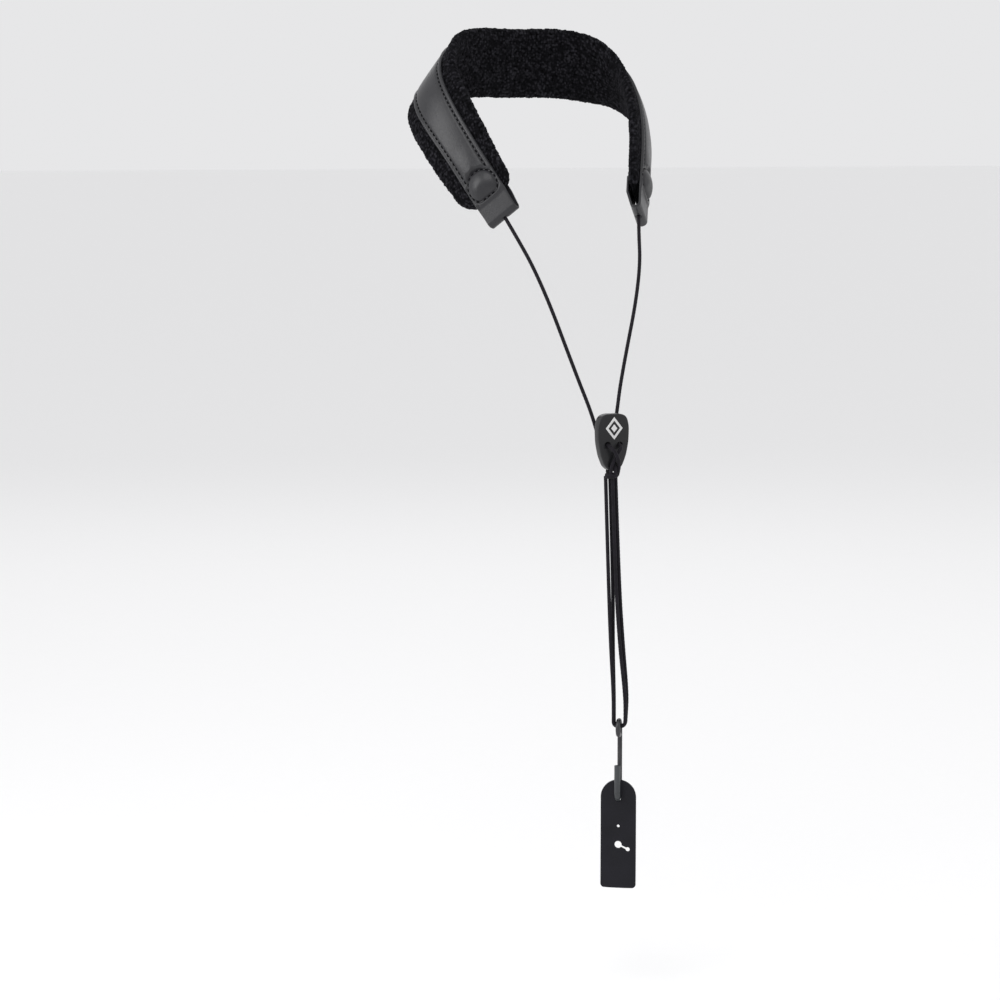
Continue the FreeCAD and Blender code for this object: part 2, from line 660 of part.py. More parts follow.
def make_hook():
    eye_radius = EYE_INNER_RADIUS + WIRE_DIAMETER / 2.0
    bend = (HOOK_BEND_SHIFT, -HOOK_BEND_DROP)
    distance = math.hypot(*bend)
    lean = math.degrees(math.asin((HOOK_BEND_RADIUS - eye_radius) / distance))
    leg_angle = 180.0 - lean - math.degrees(math.atan2(HOOK_BEND_SHIFT, HOOK_BEND_DROP))
    prong_x = bend[0] + HOOK_BEND_RADIUS
    prong_tip = Vector(prong_x, 0, bend[1] + PRONG_LENGTH)
    prong_foot = Vector(prong_x, 0, bend[1])
    bottom = arc_between(bend, HOOK_BEND_RADIUS, 0.0, leg_angle - 360.0)
    eye = arc_between((0.0, 0.0), eye_radius, leg_angle, EYE_END_ANGLE)
    leg_foot = bottom.valueAt(bottom.LastParameter)
    leg_top = eye.valueAt(eye.FirstParameter)
    if (leg_foot - prong_foot).Length < 1e-6:
        leg_foot = bottom.valueAt(bottom.FirstParameter)
    if leg_top.x > 0:
        leg_top = eye.valueAt(eye.LastParameter)
    wire = Part.Wire([Part.LineSegment(prong_tip, prong_foot).toShape(), bottom,
                      Part.LineSegment(leg_foot, leg_top).toShape(), eye])
    parts["hook_wire"] = place_on_hook(tube(wire, WIRE_DIAMETER))
    sleeve_tip = prong_tip + Vector(0, 0, SLEEVE_OVERHANG)
    sleeve_path = Part.Wire([Part.LineSegment(sleeve_tip, prong_foot).toShape(),
                             arc_between(bend, HOOK_BEND_RADIUS, 0.0, SLEEVE_END_ANGLE)])
    sleeve = tube(sleeve_path, SLEEVE_OUTER_DIAMETER)
    bore_path = Part.Wire([Part.LineSegment(sleeve_tip + Vector(0, 0, 1), prong_foot).toShape(),
                           arc_between(bend, HOOK_BEND_RADIUS, 0.0, SLEEVE_END_ANGLE - 15.0)])
    sleeve = sleeve.cut(tube(bore_path, WIRE_DIAMETER + 2.0 * SLEEVE_CLEARANCE))
    parts["hook_sleeve"] = place_on_hook(sleeve)


def make_tab():
    wire_z = -HOOK_BEND_DROP - HOOK_BEND_RADIUS
    half = TAB_WIDTH / 2.0
    top = wire_z + WIRE_DIAMETER / 2.0 + TAB_HANG_CLEARANCE + TAB_ABOVE_WIRE
    bottom = top - TAB_LENGTH
    shoulder = top - half
    x = HOOK_BEND_SHIFT - TAB_THICKNESS / 2.0
    outline = Part.Wire([
        Part.LineSegment(Vector(x, -half, shoulder), Vector(x, -half, bottom)).toShape(),
        Part.LineSegment(Vector(x, -half, bottom), Vector(x, half, bottom)).toShape(),
        Part.LineSegment(Vector(x, half, bottom), Vector(x, half, shoulder)).toShape(),
        Part.Arc(Vector(x, half, shoulder), Vector(x, 0, top), Vector(x, -half, shoulder)).toShape()])
    plate = Part.Face(outline).extrude(Vector(TAB_THICKNESS, 0, 0))
    feet = [edge for edge in plate.Edges
            if edge.BoundBox.XLength > TAB_THICKNESS / 2.0 and edge.CenterOfMass.z < bottom + 1.0]
    plate = plate.makeFillet(TAB_CORNER_RADIUS, feet)
    hang_z = wire_z + WIRE_DIAMETER / 2.0 + TAB_HANG_CLEARANCE - TAB_HANG_RADIUS
    holes = ((TAB_HANG_RADIUS, 0.0, hang_z),
             (PILOT_HOLE_RADIUS, 0.0, top - PILOT_HOLE_DROP),
             (BUTTON_HOLE_RADIUS, 0.0, top - BUTTON_HOLE_DROP),
             (KEY_END_RADIUS, KEY_END_SIDE, top - KEY_END_DROP))
    for radius, y, z in holes:
        plate = plate.cut(Part.makeCylinder(radius, TAB_THICKNESS + 2.0, Vector(x - 1.0, y, z),
                                            Vector(1, 0, 0)))
    fall = KEY_END_DROP - BUTTON_HOLE_DROP
    slit = Part.makeBox(TAB_THICKNESS + 2.0, math.hypot(KEY_END_SIDE, fall), KEY_SLIT_WIDTH,
                        Vector(x - 1.0, 0, -KEY_SLIT_WIDTH / 2.0))
    slit.rotate(Vector(0, 0, 0), Vector(1, 0, 0), -math.degrees(math.atan2(fall, KEY_END_SIDE)))
    slit.translate(Vector(0, 0, top - BUTTON_HOLE_DROP))
    parts["thumb_rest_tab"] = place_on_hook(plate.cut(slit))


make_cords()
make_band()
make_slider()
make_tip_hitch()
make_strands()
make_hook()
make_tab()

os.makedirs("parts", exist_ok=True)
for name, shape in parts.items():
    print(name, "solids", len(shape.Solids), "valid", shape.isValid(), "volume", round(shape.Volume, 1))
    shape.exportStep("parts/" + name + ".step")
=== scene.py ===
import math

import bmesh
import bpy
import numpy as np
from mathutils import Matrix, Vector


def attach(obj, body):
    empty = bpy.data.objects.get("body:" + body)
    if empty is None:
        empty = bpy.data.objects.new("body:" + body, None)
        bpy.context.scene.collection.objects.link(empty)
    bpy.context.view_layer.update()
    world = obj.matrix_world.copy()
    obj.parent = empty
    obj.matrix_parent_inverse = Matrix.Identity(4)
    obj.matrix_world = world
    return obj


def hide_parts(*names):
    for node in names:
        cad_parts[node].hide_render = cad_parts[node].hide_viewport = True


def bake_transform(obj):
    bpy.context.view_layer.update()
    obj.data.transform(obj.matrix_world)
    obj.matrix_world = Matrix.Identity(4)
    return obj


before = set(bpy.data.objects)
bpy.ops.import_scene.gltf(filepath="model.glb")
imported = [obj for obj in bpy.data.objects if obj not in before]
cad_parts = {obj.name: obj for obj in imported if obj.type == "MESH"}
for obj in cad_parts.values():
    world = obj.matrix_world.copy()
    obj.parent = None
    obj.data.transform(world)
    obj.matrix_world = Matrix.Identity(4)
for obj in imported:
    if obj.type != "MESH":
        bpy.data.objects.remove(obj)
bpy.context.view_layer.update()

# Lengths are in millimetres and become metres where a mesh is made.
MM = 0.001

# ---- sizes that the CAD source has too ----
BAND_HALF_SPAN, BAND_DEPTH, BAND_DROP = 77.0, 97.0, 99.5
BAND_PATH = (   # share of span, depth and drop; outward direction
    ((0.000, 0.000, 0.000), (0.00, 0.94, 0.33)),
    ((0.570, 0.085, 0.012), (0.34, 0.88, 0.31)),
    ((0.994, 0.317, 0.166), (0.86, 0.02, 0.50)),
    ((1.000, 0.637, 0.477), (0.81, -0.55, 0.20)),
    ((0.844, 0.875, 0.799), (0.79, -0.61, 0.08)),
    ((0.747, 1.000, 1.000), (0.81, -0.58, 0.09)),
)
STRAIGHT_END = 38.0
FLEECE_THICKNESS, FLEECE_HALF_WIDTH, FLEECE_END_RADIUS = 7.5, 24.5, 12.0
LAYER_GAP, LEATHER_THICKNESS = 0.15, 1.5
LEATHER_HALF_WIDTH, LEATHER_END_HALF_WIDTH, TAPER_START = 15.0, 13.0, 90.0
STRIP_END_BACK, LOOP_REACH, LOOP_INNER_RADIUS = 10.0, 13.6, 2.4
FLAP_UNDER_BAND, FLAP_GAP, FLAP_SLOPE, FLAP_EASE_RADIUS = 14.0, 0.3, 16.0, 6.0
DOME_FROM_END, SEAM_INSET = 13.0, 3.4
CORD_DIAMETER, CORD_HOLE_CLEARANCE = 2.6, 0.2
SLIDER_Y, SLIDER_TOP_Z, SLIDER_HALF_WIDTH = -158.0, -238.5, 11.6
SLIDER_HEIGHT, SLIDER_THICKNESS, SLIDER_EDGE = 39.2, 7.0, 1.0
SLIDER_HOLE_X, SLIDER_HOLE_DROP, TIP_HOLE_RISE = 4.7, 20.9, 4.4
EMBLEM_HEIGHT, EMBLEM_HALF_WIDTH, EMBLEM_DROP = 15.4, 6.4, 9.8
WRAP_DROP, WRAP_HEIGHT, WRAP_WIDTH, WRAP_DEPTH, WRAP_FORWARD = 0.5, 4.8, 9.4, 8.6, 2.0
HOOK_YAW = -125.0
EYE = (0.0, -171.0, -453.8)
EYE_WIRE_RADIUS = 4.95
LOOP_OFFSET, BEND_RADIUS, BEND_LEG = 1.4, 3.6, 3.0
HOOK_BEND_DROP, HOOK_BEND_RADIUS, HOOK_BEND_SHIFT, WIRE_DIAMETER = 43.2, 6.0, 0.9, 3.3
TAB_WIDTH, TAB_LENGTH, TAB_THICKNESS, TAB_ABOVE_WIRE = 24.5, 75.8, 2.0, 11.2
TAB_CORNER_RADIUS, TAB_HANG_CLEARANCE = 2.5, 0.25
PILOT_HOLE_RADIUS, PILOT_HOLE_DROP = 1.0, 32.5
BUTTON_HOLE_RADIUS, BUTTON_HOLE_DROP = 2.5, 45.5
KEY_END_RADIUS, KEY_END_DROP, KEY_END_SIDE, KEY_SLIT_WIDTH = 1.5, 48.6, 6.6, 1.4

# ---- sizes that only the shapes made here use ----
# leather
DOME_SHIFT = 1.0            # the domes stand this much further from the ends than in the CAD source
DOME_RISE = 4.1
RING_RADIUS = 11.5          # stitches round the dome
CHORD_BELOW = 8.7           # the ring's lower side is straight, this far below the dome's centre
RING_CORNER = 1.2           # softness of the ring's two corners
RING_GROOVE_DEPTH, RING_GROOVE_WIDTH = 0.8, 0.85
RIM_HEIGHT, RIM_FOOT, RIM_ROUND = 2.3, 0.25, 1.1
GROOVE_DEPTH, GROOVE_WIDTH = 0.7, 0.9
CROWN, GATHER = 1.15, 0.9   # padding along the middle, and how much more of it near the domes
PUCKERS, PUCKER_HEIGHT = 13.0, 0.22
FOLD_HALF_WIDTH, FOLD_TAPER_FROM_DOME, FOLD_TAPER_LENGTH = 12.5, 6.0, 14.0
CORD_DIMPLE_DEPTH, CORD_DIMPLE_RADIUS = 1.0, 1.9
THINNEST_LEATHER = 0.35
# pile; the narrower places are (by how much, from which distance along the band, over what length)
LOWER_END_RADIUS = 18.0     # the pile's corners on the lower side are rounder
PILE_END_BACK = 4.0
NECK_SIDE_NARROWS = ((2.6, 110.0, 50.0), (3.0, 145.0, 40.0))
LOWER_SIDE_MORE, LOWER_SIDE_NARROWS = 0.8, (1.4, 150.0, 35.0)
TUFT_SIZE, TUFT_RISE = (1.75, 1.65), 1.35
CLUMP_SIZE, CLUMP_RISE = (9.0, 7.0), 0.45
PILE_SUNK, PILE_PRESSED = 0.65, 0.1     # roots below the pad's surface, in the open and under leather
# stitches
STITCH_PITCH, STITCH_LENGTH = 3.9, 2.7
SEAM_STOP = 1.5             # the edge seams stop this far from the ring
# cords
BRAID_LOBES, BRAID_PITCH, BRAID_RELIEF = 4, 5.2, 0.05
CORD_SIDES, CORD_STEP = 20, 0.45
STRANDS_IN_WRAP = 2.0       # the strands start this far up in the wrap
HOOK_RUN = 6.0              # places next to the bends lie this many cord diameters above them
RIGHT_LEG_ASIDE, RIGHT_TURN_ASIDE = 4.6, 4.2
HITCH_TURNS, HITCH_POINTS, HITCH_START = 2.05, 12, 0.9
HITCH_SPREAD, HITCH_SHIFT, HITCH_SLANT = 1.06, 1.0, 0.5
TIP_LOOP_OFF, TIP_LOOP_BULGE = 1.9, 0.4
KNOT_TURNS, KNOT_POINTS, KNOT_START, KNOT_LENGTH = 3, 10, 0.1, 3.9
KNOT_COIL_RADIUS, KNOT_CORD_DIAMETER, KNOT_SIDES = 1.15, 2.0, 16
# emblem and tab
EMBLEM_THICKNESS, EMBLEM_EDGE = 1.0, 0.22
EMBLEM_OPENING, EMBLEM_CENTRE = 0.68, 0.36
TAB_HANG_RADIUS = 1.85      # closer round the wire than the CAD hole
TAB_EDGE, TAB_CUP, TAB_BOW = 0.45, 1.2, 1.6
MERGE_DISTANCE = 0.01

# cord routes on the +X side, as in the CAD source but for one point
UPPER_CORD_ROUTE = (
    (54.1, -92.1, -100.0),
    (50.0, -99.3, -110.6),
    (38.5, -125.5, -148.0),     # this point is only here: the cords bow forward a little
    (16.4, -139.5, -216.5),
    (9.8, -146.5, -238.5),
    (4.7, -149.7, -259.4),
    (4.7, -154.5, -259.4),
)
UNDER_CORD_ROUTE = (
    (4.7, -154.5, -259.4),
    (4.7, -166.0, -259.4),
    (0.6, -164.3, -266.5),
    (-3.2, -164.0, -273.5),
    (-2.6, -161.5, -280.5),
)
OVER_CORD_ROUTE = (
    (4.7, -154.5, -259.4),
    (4.7, -166.0, -259.4),
    (0.6, -168.1, -266.9),
    (-3.2, -164.3, -273.5),
    (-2.6, -161.5, -280.5),
)


# ---- mesh helpers ----

def mesh_object(name, points, faces, material, smooth=True):
    """A mesh from points in millimetres."""
    mesh = bpy.data.meshes.new(name)
    mesh.from_pydata((np.asarray(points, float) * MM).tolist(), [], faces)
    mesh.polygons.foreach_set("use_smooth", [smooth] * len(mesh.polygons))
    mesh.materials.append(material)
    mesh.update()
    made = bpy.data.objects.new(name, mesh)
    bpy.context.collection.objects.link(made)
    return made


def tube_faces(rings, sides, first=0):
    """Quads between closed rings of points, and a face over each end."""
    faces = []
    for i in range(rings - 1):
        a = first + i * sides
        for j in range(sides):
            k = (j + 1) % sides
            faces.append((a + j, a + k, a + sides + k, a + sides + j))
    last = first + (rings - 1) * sides
    faces.append(tuple(first + sides - 1 - j for j in range(sides)))
    faces.append(tuple(last + j for j in range(sides)))
    return faces


def run_along(points):
    """Distance of each point from the first, along the line through them."""
    return np.concatenate([[0.0], np.cumsum(np.linalg.norm(np.diff(points, axis=0), axis=1))])


def smoothstep(x):
    x = np.clip(x, 0.0, 1.0)
    return x * x * (3.0 - 2.0 * x)


# ---- the band's path ----

def spline_values(knots, points, at):
    """The smooth cubic through the points at those knots, as the CAD source interpolates it."""
    knots, points = np.asarray(knots, float), np.asarray(points, float)
    step = np.diff(knots)
    slope = np.diff(points, axis=0) / step[:, None]
    count = len(knots)

    def end_slope(order):
        near = knots[order]
        total = np.zeros(points.shape[1])
        for j in range(4):
            others = [m for m in range(4) if m != j]
            scale = np.prod([near[j] - near[m] for m in others])
            rate = sum(np.prod([near[0] - near[m] for m in others if m != k]) for k in others)
            total += points[order[j]] * rate / scale
        return total

    system = np.zeros((count, count))
    right = np.zeros(points.shape)
    system[0, 0] = system[-1, -1] = 1.0
    right[0] = end_slope([0, 1, 2, 3])
    right[-1] = end_slope([count - 1, count - 2, count - 3, count - 4])
    for i in range(1, count - 1):
        system[i, i - 1], system[i, i + 1] = step[i], step[i - 1]
        system[i, i] = 2.0 * (step[i - 1] + step[i])
        right[i] = 3.0 * (step[i] * slope[i - 1] + step[i - 1] * slope[i])
    rates = np.linalg.solve(system, right)
    i = np.clip(np.searchsorted(knots, at, side="right") - 1, 0, count - 2)
    u = ((at - knots[i]) / step[i])[:, None]
    h = step[i][:, None]
    return ((1 + 2 * u) * (1 - u) ** 2 * points[i] + u * (1 - u) ** 2 * h * rates[i]
            + u * u * (3 - 2 * u) * points[i + 1] + u * u * (u - 1) * h * rates[i + 1])


def unit(vectors):
    return vectors / np.linalg.norm(vectors, axis=-1, keepdims=True)


MIRROR = np.array([-1.0, 1.0, 1.0])


class Band:
    """Frames along the band's middle line, from the nape; the -X side is the mirror image."""

    def __init__(self):
        outward = unit(np.array([n for _, n in BAND_PATH], float))
        scale = np.array([BAND_HALF_SPAN, -BAND_DEPTH, -BAND_DROP])
        line = outward[0] * FLEECE_THICKNESS + np.array([p for p, _ in BAND_PATH]) * scale
        line = np.vstack([line[:0:-1] * MIRROR, line])
        outward = np.vstack([outward[:0:-1] * MIRROR, outward])
        knots = run_along(line)
        at = np.linspace(knots[-1] / 2.0, knots[-1], 4001)
        self.line = spline_values(knots, line, at)
        self.normal = spline_values(knots, outward, at)
        self.tangent = unit(np.gradient(self.line, axis=0))
        self.along = run_along(self.line)
        self.end = self.along[-1]

    def frames(self, along):
        """Origins, tangents, outward directions and directions to the lower edge, for along >= 0."""
        bent = np.minimum(along, self.end - STRAIGHT_END)

        def at(values):
            return np.stack([np.interp(bent, self.along, values[:, i]) for i in range(3)], axis=-1)

        tangent = unit(at(self.tangent))
        normal = at(self.normal)
        normal = unit(normal - tangent * np.sum(normal * tangent, axis=-1, keepdims=True))
        origin = at(self.line) + tangent * (along - bent)[..., None]
        return origin, tangent, normal, np.cross(normal, tangent)

    def points(self, along, across, height):
        """Points at distances along the band, towards its lower edge, and outwards."""
        along, across, height = np.broadcast_arrays(along, across, height)
        origin, _, normal, lower = self.frames(np.abs(along))
        made = origin + lower * across[..., None] + normal * height[..., None]
        made[..., 0] *= np.where(along < 0, -1.0, 1.0)
        return made


band = Band()
dome_at = band.end - DOME_FROM_END - DOME_SHIFT
strip_end = band.end - STRIP_END_BACK


# ---- materials ----

def node_material(name):
    made = bpy.data.materials.new(name)
    made.use_nodes = True
    tree = made.node_tree
    shader = tree.nodes["Principled BSDF"]
    return made, tree, shader


def add(tree, kind, **values):
    """A node with some of its inputs or settings given."""
    made = tree.nodes.new(kind)
    for key, value in values.items():
        key_name = key.replace("_", " ")
        if hasattr(made, key):
            setattr(made, key, value)
        else:
            made.inputs[key_name].default_value = value
    return made


def set_inputs(shader, values):
    for name, value in values.items():
        shader.inputs[name].default_value = value


def ramp(tree, source, stops):
    """A colour ramp from (place, colour) stops."""
    made = tree.nodes.new("ShaderNodeValToRGB")
    marks = made.color_ramp.elements
    while len(marks) < len(stops):
        marks.new(0.5)
    for mark, (place, color) in zip(marks, stops):
        mark.position = place
        mark.color = (*color, 1.0)
    tree.links.new(source, made.inputs["Fac"])
    return made


def bumped(tree, shader, layers):
    """Chained bumps from (height socket, depth in metres, strength) layers."""
    before = None
    for height, depth, strength in layers:
        bump = add(tree, "ShaderNodeBump", Strength=strength, Distance=depth)
        tree.links.new(height, bump.inputs["Height"])
        if before is not None:
            tree.links.new(before.outputs["Normal"], bump.inputs["Normal"])
        before = bump
    tree.links.new(before.outputs["Normal"], shader.inputs["Normal"])


def leather_material(name, dark, light, rough, grain=1100.0, sheen=0.0, shine=0.4):
    """Finely grained leather: mottled colour, pebbled grain, and high spots and convex edges lightened as a
    painted highlight.
    """
    grain_depth = 0.00012       # metres
    made, tree, shader = node_material(name)
    place = tree.nodes.new("ShaderNodeTexCoord")
    mottle = add(tree, "ShaderNodeTexNoise", Scale=55.0, Detail=5.0, Roughness=0.6)
    fine = add(tree, "ShaderNodeTexNoise", Scale=900.0, Detail=3.0)
    pebble = add(tree, "ShaderNodeTexVoronoi", Scale=grain)
    pebble.feature = "SMOOTH_F1"
    for node in (mottle, fine, pebble):
        tree.links.new(place.outputs["Object"], node.inputs["Vector"])
    colour = ramp(tree, mottle.outputs["Fac"], [(0.3, dark), (0.7, light)])
    # Painted highlight: high spots and convex edges (high pointiness) are lightened towards 1.5 times the
    # light tone.
    point = tree.nodes.new("ShaderNodeNewGeometry")
    edge = ramp(tree, point.outputs["Pointiness"], [(0.50, (0, 0, 0)), (0.58, (1, 1, 1))])
    patches_and_edge_highlight = add(tree, "ShaderNodeMixRGB", Color2=tuple(min(1.0, c * 1.5) for c in light) + (1.0,))
    tree.links.new(edge.outputs["Color"], patches_and_edge_highlight.inputs["Fac"])
    tree.links.new(colour.outputs["Color"], patches_and_edge_highlight.inputs["Color1"])
    tree.links.new(patches_and_edge_highlight.outputs["Color"], shader.inputs["Base Color"])
    gloss = ramp(tree, fine.outputs["Fac"], [(0.3, (rough - 0.06,) * 3), (0.7, (rough + 0.07,) * 3)])
    tree.links.new(gloss.outputs["Color"], shader.inputs["Roughness"])
    set_inputs(shader, {"Specular IOR Level": shine, "Sheen Weight": sheen, "Sheen Roughness": 0.4})
    bumped(tree, shader, [(pebble.outputs["Distance"], grain_depth, 0.5),
                          (fine.outputs["Fac"], grain_depth * 0.5, 0.4),
                          (mottle.outputs["Fac"], 0.0008, 0.15)])
    return made


def pile_material():
    """Dark looped pile: fuzzy fibre noise over the modelled tufts, with painted shade between the tufts and a
    painted highlight on their tops.
    """
    made, tree, shader = node_material("pile")
    place = tree.nodes.new("ShaderNodeTexCoord")
    fibre = add(tree, "ShaderNodeTexNoise", Scale=2600.0, Detail=4.0, Roughness=0.7)
    patch = add(tree, "ShaderNodeTexNoise", Scale=160.0, Detail=3.0)
    for node in (fibre, patch):
        tree.links.new(place.outputs["Object"], node.inputs["Vector"])
    tuft = add(tree, "ShaderNodeAttribute")
    tuft.attribute_name = "tuft"
    # Colour from tuft height: painted shade down between the tufts, painted highlight on their tops.
    height = ramp(tree, tuft.outputs["Fac"], [(0.35, (0.0006, 0.0006, 0.0009)),
                                              (0.65, (0.0055, 0.0053, 0.0068)),
                                              (0.95, (0.034, 0.033, 0.039))])
    # Random darker patches in the pile's own tone.
    patches_and_edge_highlight = ramp(tree, patch.outputs["Fac"], [(0.3, (0.55, 0.55, 0.55)), (0.7, (1.0, 1.0, 1.0))])
    colour = add(tree, "ShaderNodeMixRGB", blend_type="MULTIPLY", Fac=1.0)
    tree.links.new(height.outputs["Color"], colour.inputs["Color1"])
    tree.links.new(patches_and_edge_highlight.outputs["Color"], colour.inputs["Color2"])
    tree.links.new(colour.outputs["Color"], shader.inputs["Base Color"])
    set_inputs(shader, {"Roughness": 0.95, "Specular IOR Level": 0.08, "Sheen Weight": 0.02,
                        "Sheen Roughness": 0.6, "Sheen Tint": (0.5, 0.5, 0.6, 1.0)})
    bumped(tree, shader, [(fibre.outputs["Fac"], 0.0005, 0.7)])
    return made


def cord_material():
    """Braided polyester cord, black with a trace of violet."""
    made, tree, shader = node_material("cord_black")
    place = tree.nodes.new("ShaderNodeTexCoord")
    fibre = add(tree, "ShaderNodeTexNoise", Scale=3500.0, Detail=3.0)
    patch = add(tree, "ShaderNodeTexNoise", Scale=300.0, Detail=2.0)
    for node in (fibre, patch):
        tree.links.new(place.outputs["Object"], node.inputs["Vector"])
    colour = ramp(tree, patch.outputs["Fac"], [(0.3, (0.0033, 0.0026, 0.0046)),
                                               (0.7, (0.008, 0.0064, 0.011))])
    tree.links.new(colour.outputs["Color"], shader.inputs["Base Color"])
    set_inputs(shader, {"Roughness": 0.72, "Specular IOR Level": 0.22, "Sheen Weight": 0.05,
                        "Sheen Roughness": 0.4})
    bumped(tree, shader, [(fibre.outputs["Fac"], 0.0002, 0.5)])
    return made


def plastic_material(name, dark, light, rough, metallic=0.0, scale=1500.0, depth=0.00006, streak=None,
                     specular=0.5):
    """Moulded plastic or wire: faint mottling, fine texture, roughness variation, and a painted highlight on
    convex edges.
    """
    made, tree, shader = node_material(name)
    place = tree.nodes.new("ShaderNodeTexCoord")
    patch = add(tree, "ShaderNodeTexNoise", Scale=90.0, Detail=4.0)
    fine = add(tree, "ShaderNodeTexNoise", Scale=scale, Detail=3.0)
    tree.links.new(place.outputs["Object"], patch.inputs["Vector"])
    if streak:
        stretch = add(tree, "ShaderNodeMapping", Scale=streak)
        tree.links.new(place.outputs["Object"], stretch.inputs["Vector"])
        tree.links.new(stretch.outputs["Vector"], fine.inputs["Vector"])
    else:
        tree.links.new(place.outputs["Object"], fine.inputs["Vector"])
    colour = ramp(tree, patch.outputs["Fac"], [(0.3, dark), (0.7, light)])
    # Painted highlight: convex edges (high pointiness) are lightened towards 1.8 times the light tone, as on
    # the slider's bevels.
    point = tree.nodes.new("ShaderNodeNewGeometry")
    edge = ramp(tree, point.outputs["Pointiness"], [(0.50, (0, 0, 0)), (0.60, (0.6, 0.6, 0.6))])
    patches_and_edge_highlight = add(tree, "ShaderNodeMixRGB", Color2=tuple(min(1.0, c * 1.8) for c in light) + (1.0,))
    tree.links.new(edge.outputs["Color"], patches_and_edge_highlight.inputs["Fac"])
    tree.links.new(colour.outputs["Color"], patches_and_edge_highlight.inputs["Color1"])
    tree.links.new(patches_and_edge_highlight.outputs["Color"], shader.inputs["Base Color"])
    gloss = ramp(tree, fine.outputs["Fac"], [(0.3, (rough - 0.05,) * 3), (0.7, (rough + 0.06,) * 3)])
    tree.links.new(gloss.outputs["Color"], shader.inputs["Roughness"])
    set_inputs(shader, {"Metallic": metallic, "Specular IOR Level": specular})
    bumped(tree, shader, [(fine.outputs["Fac"], depth, 0.4)])
    return made


LEATHER = leather_material("leather_grey", (0.017, 0.017, 0.0195), (0.025, 0.025, 0.028), 0.33)
TAB_LEATHER = leather_material("leather_tab", (0.004, 0.004, 0.0065), (0.007, 0.007, 0.011), 0.5,
                               grain=900.0, sheen=0.03, shine=0.22)
PILE = pile_material()
CORD = cord_material()
THREAD = plastic_material("thread_black", (0.0015, 0.0015, 0.002), (0.004, 0.004, 0.005), 0.75,
                          depth=0.0001, specular=0.1)
SLIDER_PLASTIC = plastic_material("plastic_slider", (0.0075, 0.0075, 0.0085), (0.010, 0.010, 0.0115), 0.36,
                                  specular=0.35)
SILVER = plastic_material("metal_emblem", (0.60, 0.60, 0.60), (0.70, 0.70, 0.69), 0.32, metallic=0.55)
GUNMETAL = plastic_material("metal_wire", (0.040, 0.040, 0.043), (0.062, 0.062, 0.065), 0.34, metallic=0.8,
                            streak=(1.0, 1.0, 0.05))
SLEEVE = plastic_material("plastic_sleeve", (0.020, 0.022, 0.025), (0.028, 0.031, 0.034), 0.38)
FLOOR = plastic_material("floor_pale", (0.95, 0.95, 0.95), (0.955, 0.955, 0.955), 0.95, scale=60.0)


# ---- camera and light ----

def make_camera():
    data = bpy.data.cameras.new("camera")
    data.lens = 106.56
    data.sensor_width = 36.0
    data.clip_start, data.clip_end = 0.05, 60.0
    camera = bpy.data.objects.new("camera", data)
    camera.location = (-0.9107, -1.9500, -0.0497)
    camera.rotation_mode = "QUATERNION"
    camera.rotation_quaternion = Vector((0.4158, 0.9012, -0.1226)).to_track_quat("-Z", "Y")
    bpy.context.collection.objects.link(camera)
    bpy.context.scene.camera = camera


def area_light(name, place, aim, size, power, spread=180.0):
    data = bpy.data.lights.new(name, "AREA")
    data.shape = "RECTANGLE"
    data.size, data.size_y = size
    data.energy = power
    data.spread = math.radians(spread)
    lamp = bpy.data.objects.new(name, data)
    lamp.location = place
    lamp.rotation_mode = "QUATERNION"
    lamp.rotation_quaternion = (Vector(aim) - Vector(place)).to_track_quat("-Z", "Y")
    bpy.context.collection.objects.link(lamp)


def make_stage():
    scene = bpy.context.scene
    scene.view_settings.view_transform = "Standard"
    world = bpy.data.worlds.new("studio")
    world.use_nodes = True
    world.node_tree.nodes["Background"].inputs["Color"].default_value = (0.95, 0.95, 0.96, 1.0)
    world.node_tree.nodes["Background"].inputs["Strength"].default_value = 0.84
    scene.world = world
    middle = (0.0, -0.08, -0.25)
    area_light("key", (-1.3, -1.2, 1.9), middle, (1.6, 1.6), 8.0, 120.0)
    area_light("fill", (1.9, -1.4, 0.4), middle, (1.4, 1.8), 4.0)
    area_light("rim", (0.6, 2.0, 1.2), middle, (1.6, 1.2), 5.0)
    area_light("side", (-2.2, 0.1, 0.5), (0.0, -0.08, -0.05), (1.0, 1.6), 3.6, 80.0)
    half, level = 45000.0, -640.0
    corners = [(-half, -half, level), (half, -half, level), (half, half, level), (-half, half, level)]
    mesh_object("floor", corners, [(0, 1, 2, 3)], FLOOR, smooth=False)


# ---- cords ----

def route_line(route):
    """Points in metres along the smooth line that the route controls."""
    data = bpy.data.curves.new("route", "CURVE")
    data.dimensions = "3D"
    spline = data.splines.new("NURBS")
    spline.points.add(len(route) - 1)
    for point, place in zip(spline.points, route):
        point.co = (*(c * MM for c in place), 1.0)
    spline.order_u = 3
    spline.use_endpoint_u = True
    spline.resolution_u = 48
    holder = bpy.data.objects.new("route", data)
    bpy.context.collection.objects.link(holder)
    evaluated = holder.evaluated_get(bpy.context.evaluated_depsgraph_get())
    mesh = bpy.data.meshes.new_from_object(evaluated)
    line = np.array([v.co for v in mesh.vertices])
    bpy.data.objects.remove(holder)
    bpy.data.meshes.remove(mesh)
    return line


def even(line, step):
    """The line's points spaced evenly, about step millimetres apart, in millimetres."""
    line = line / MM
    run = run_along(line)
    count = max(4, int(round(run[-1] / step)) + 1)
    at = np.linspace(0.0, run[-1], count)
    return np.stack([np.interp(at, run, line[:, i]) for i in range(3)], axis=1), run[-1]


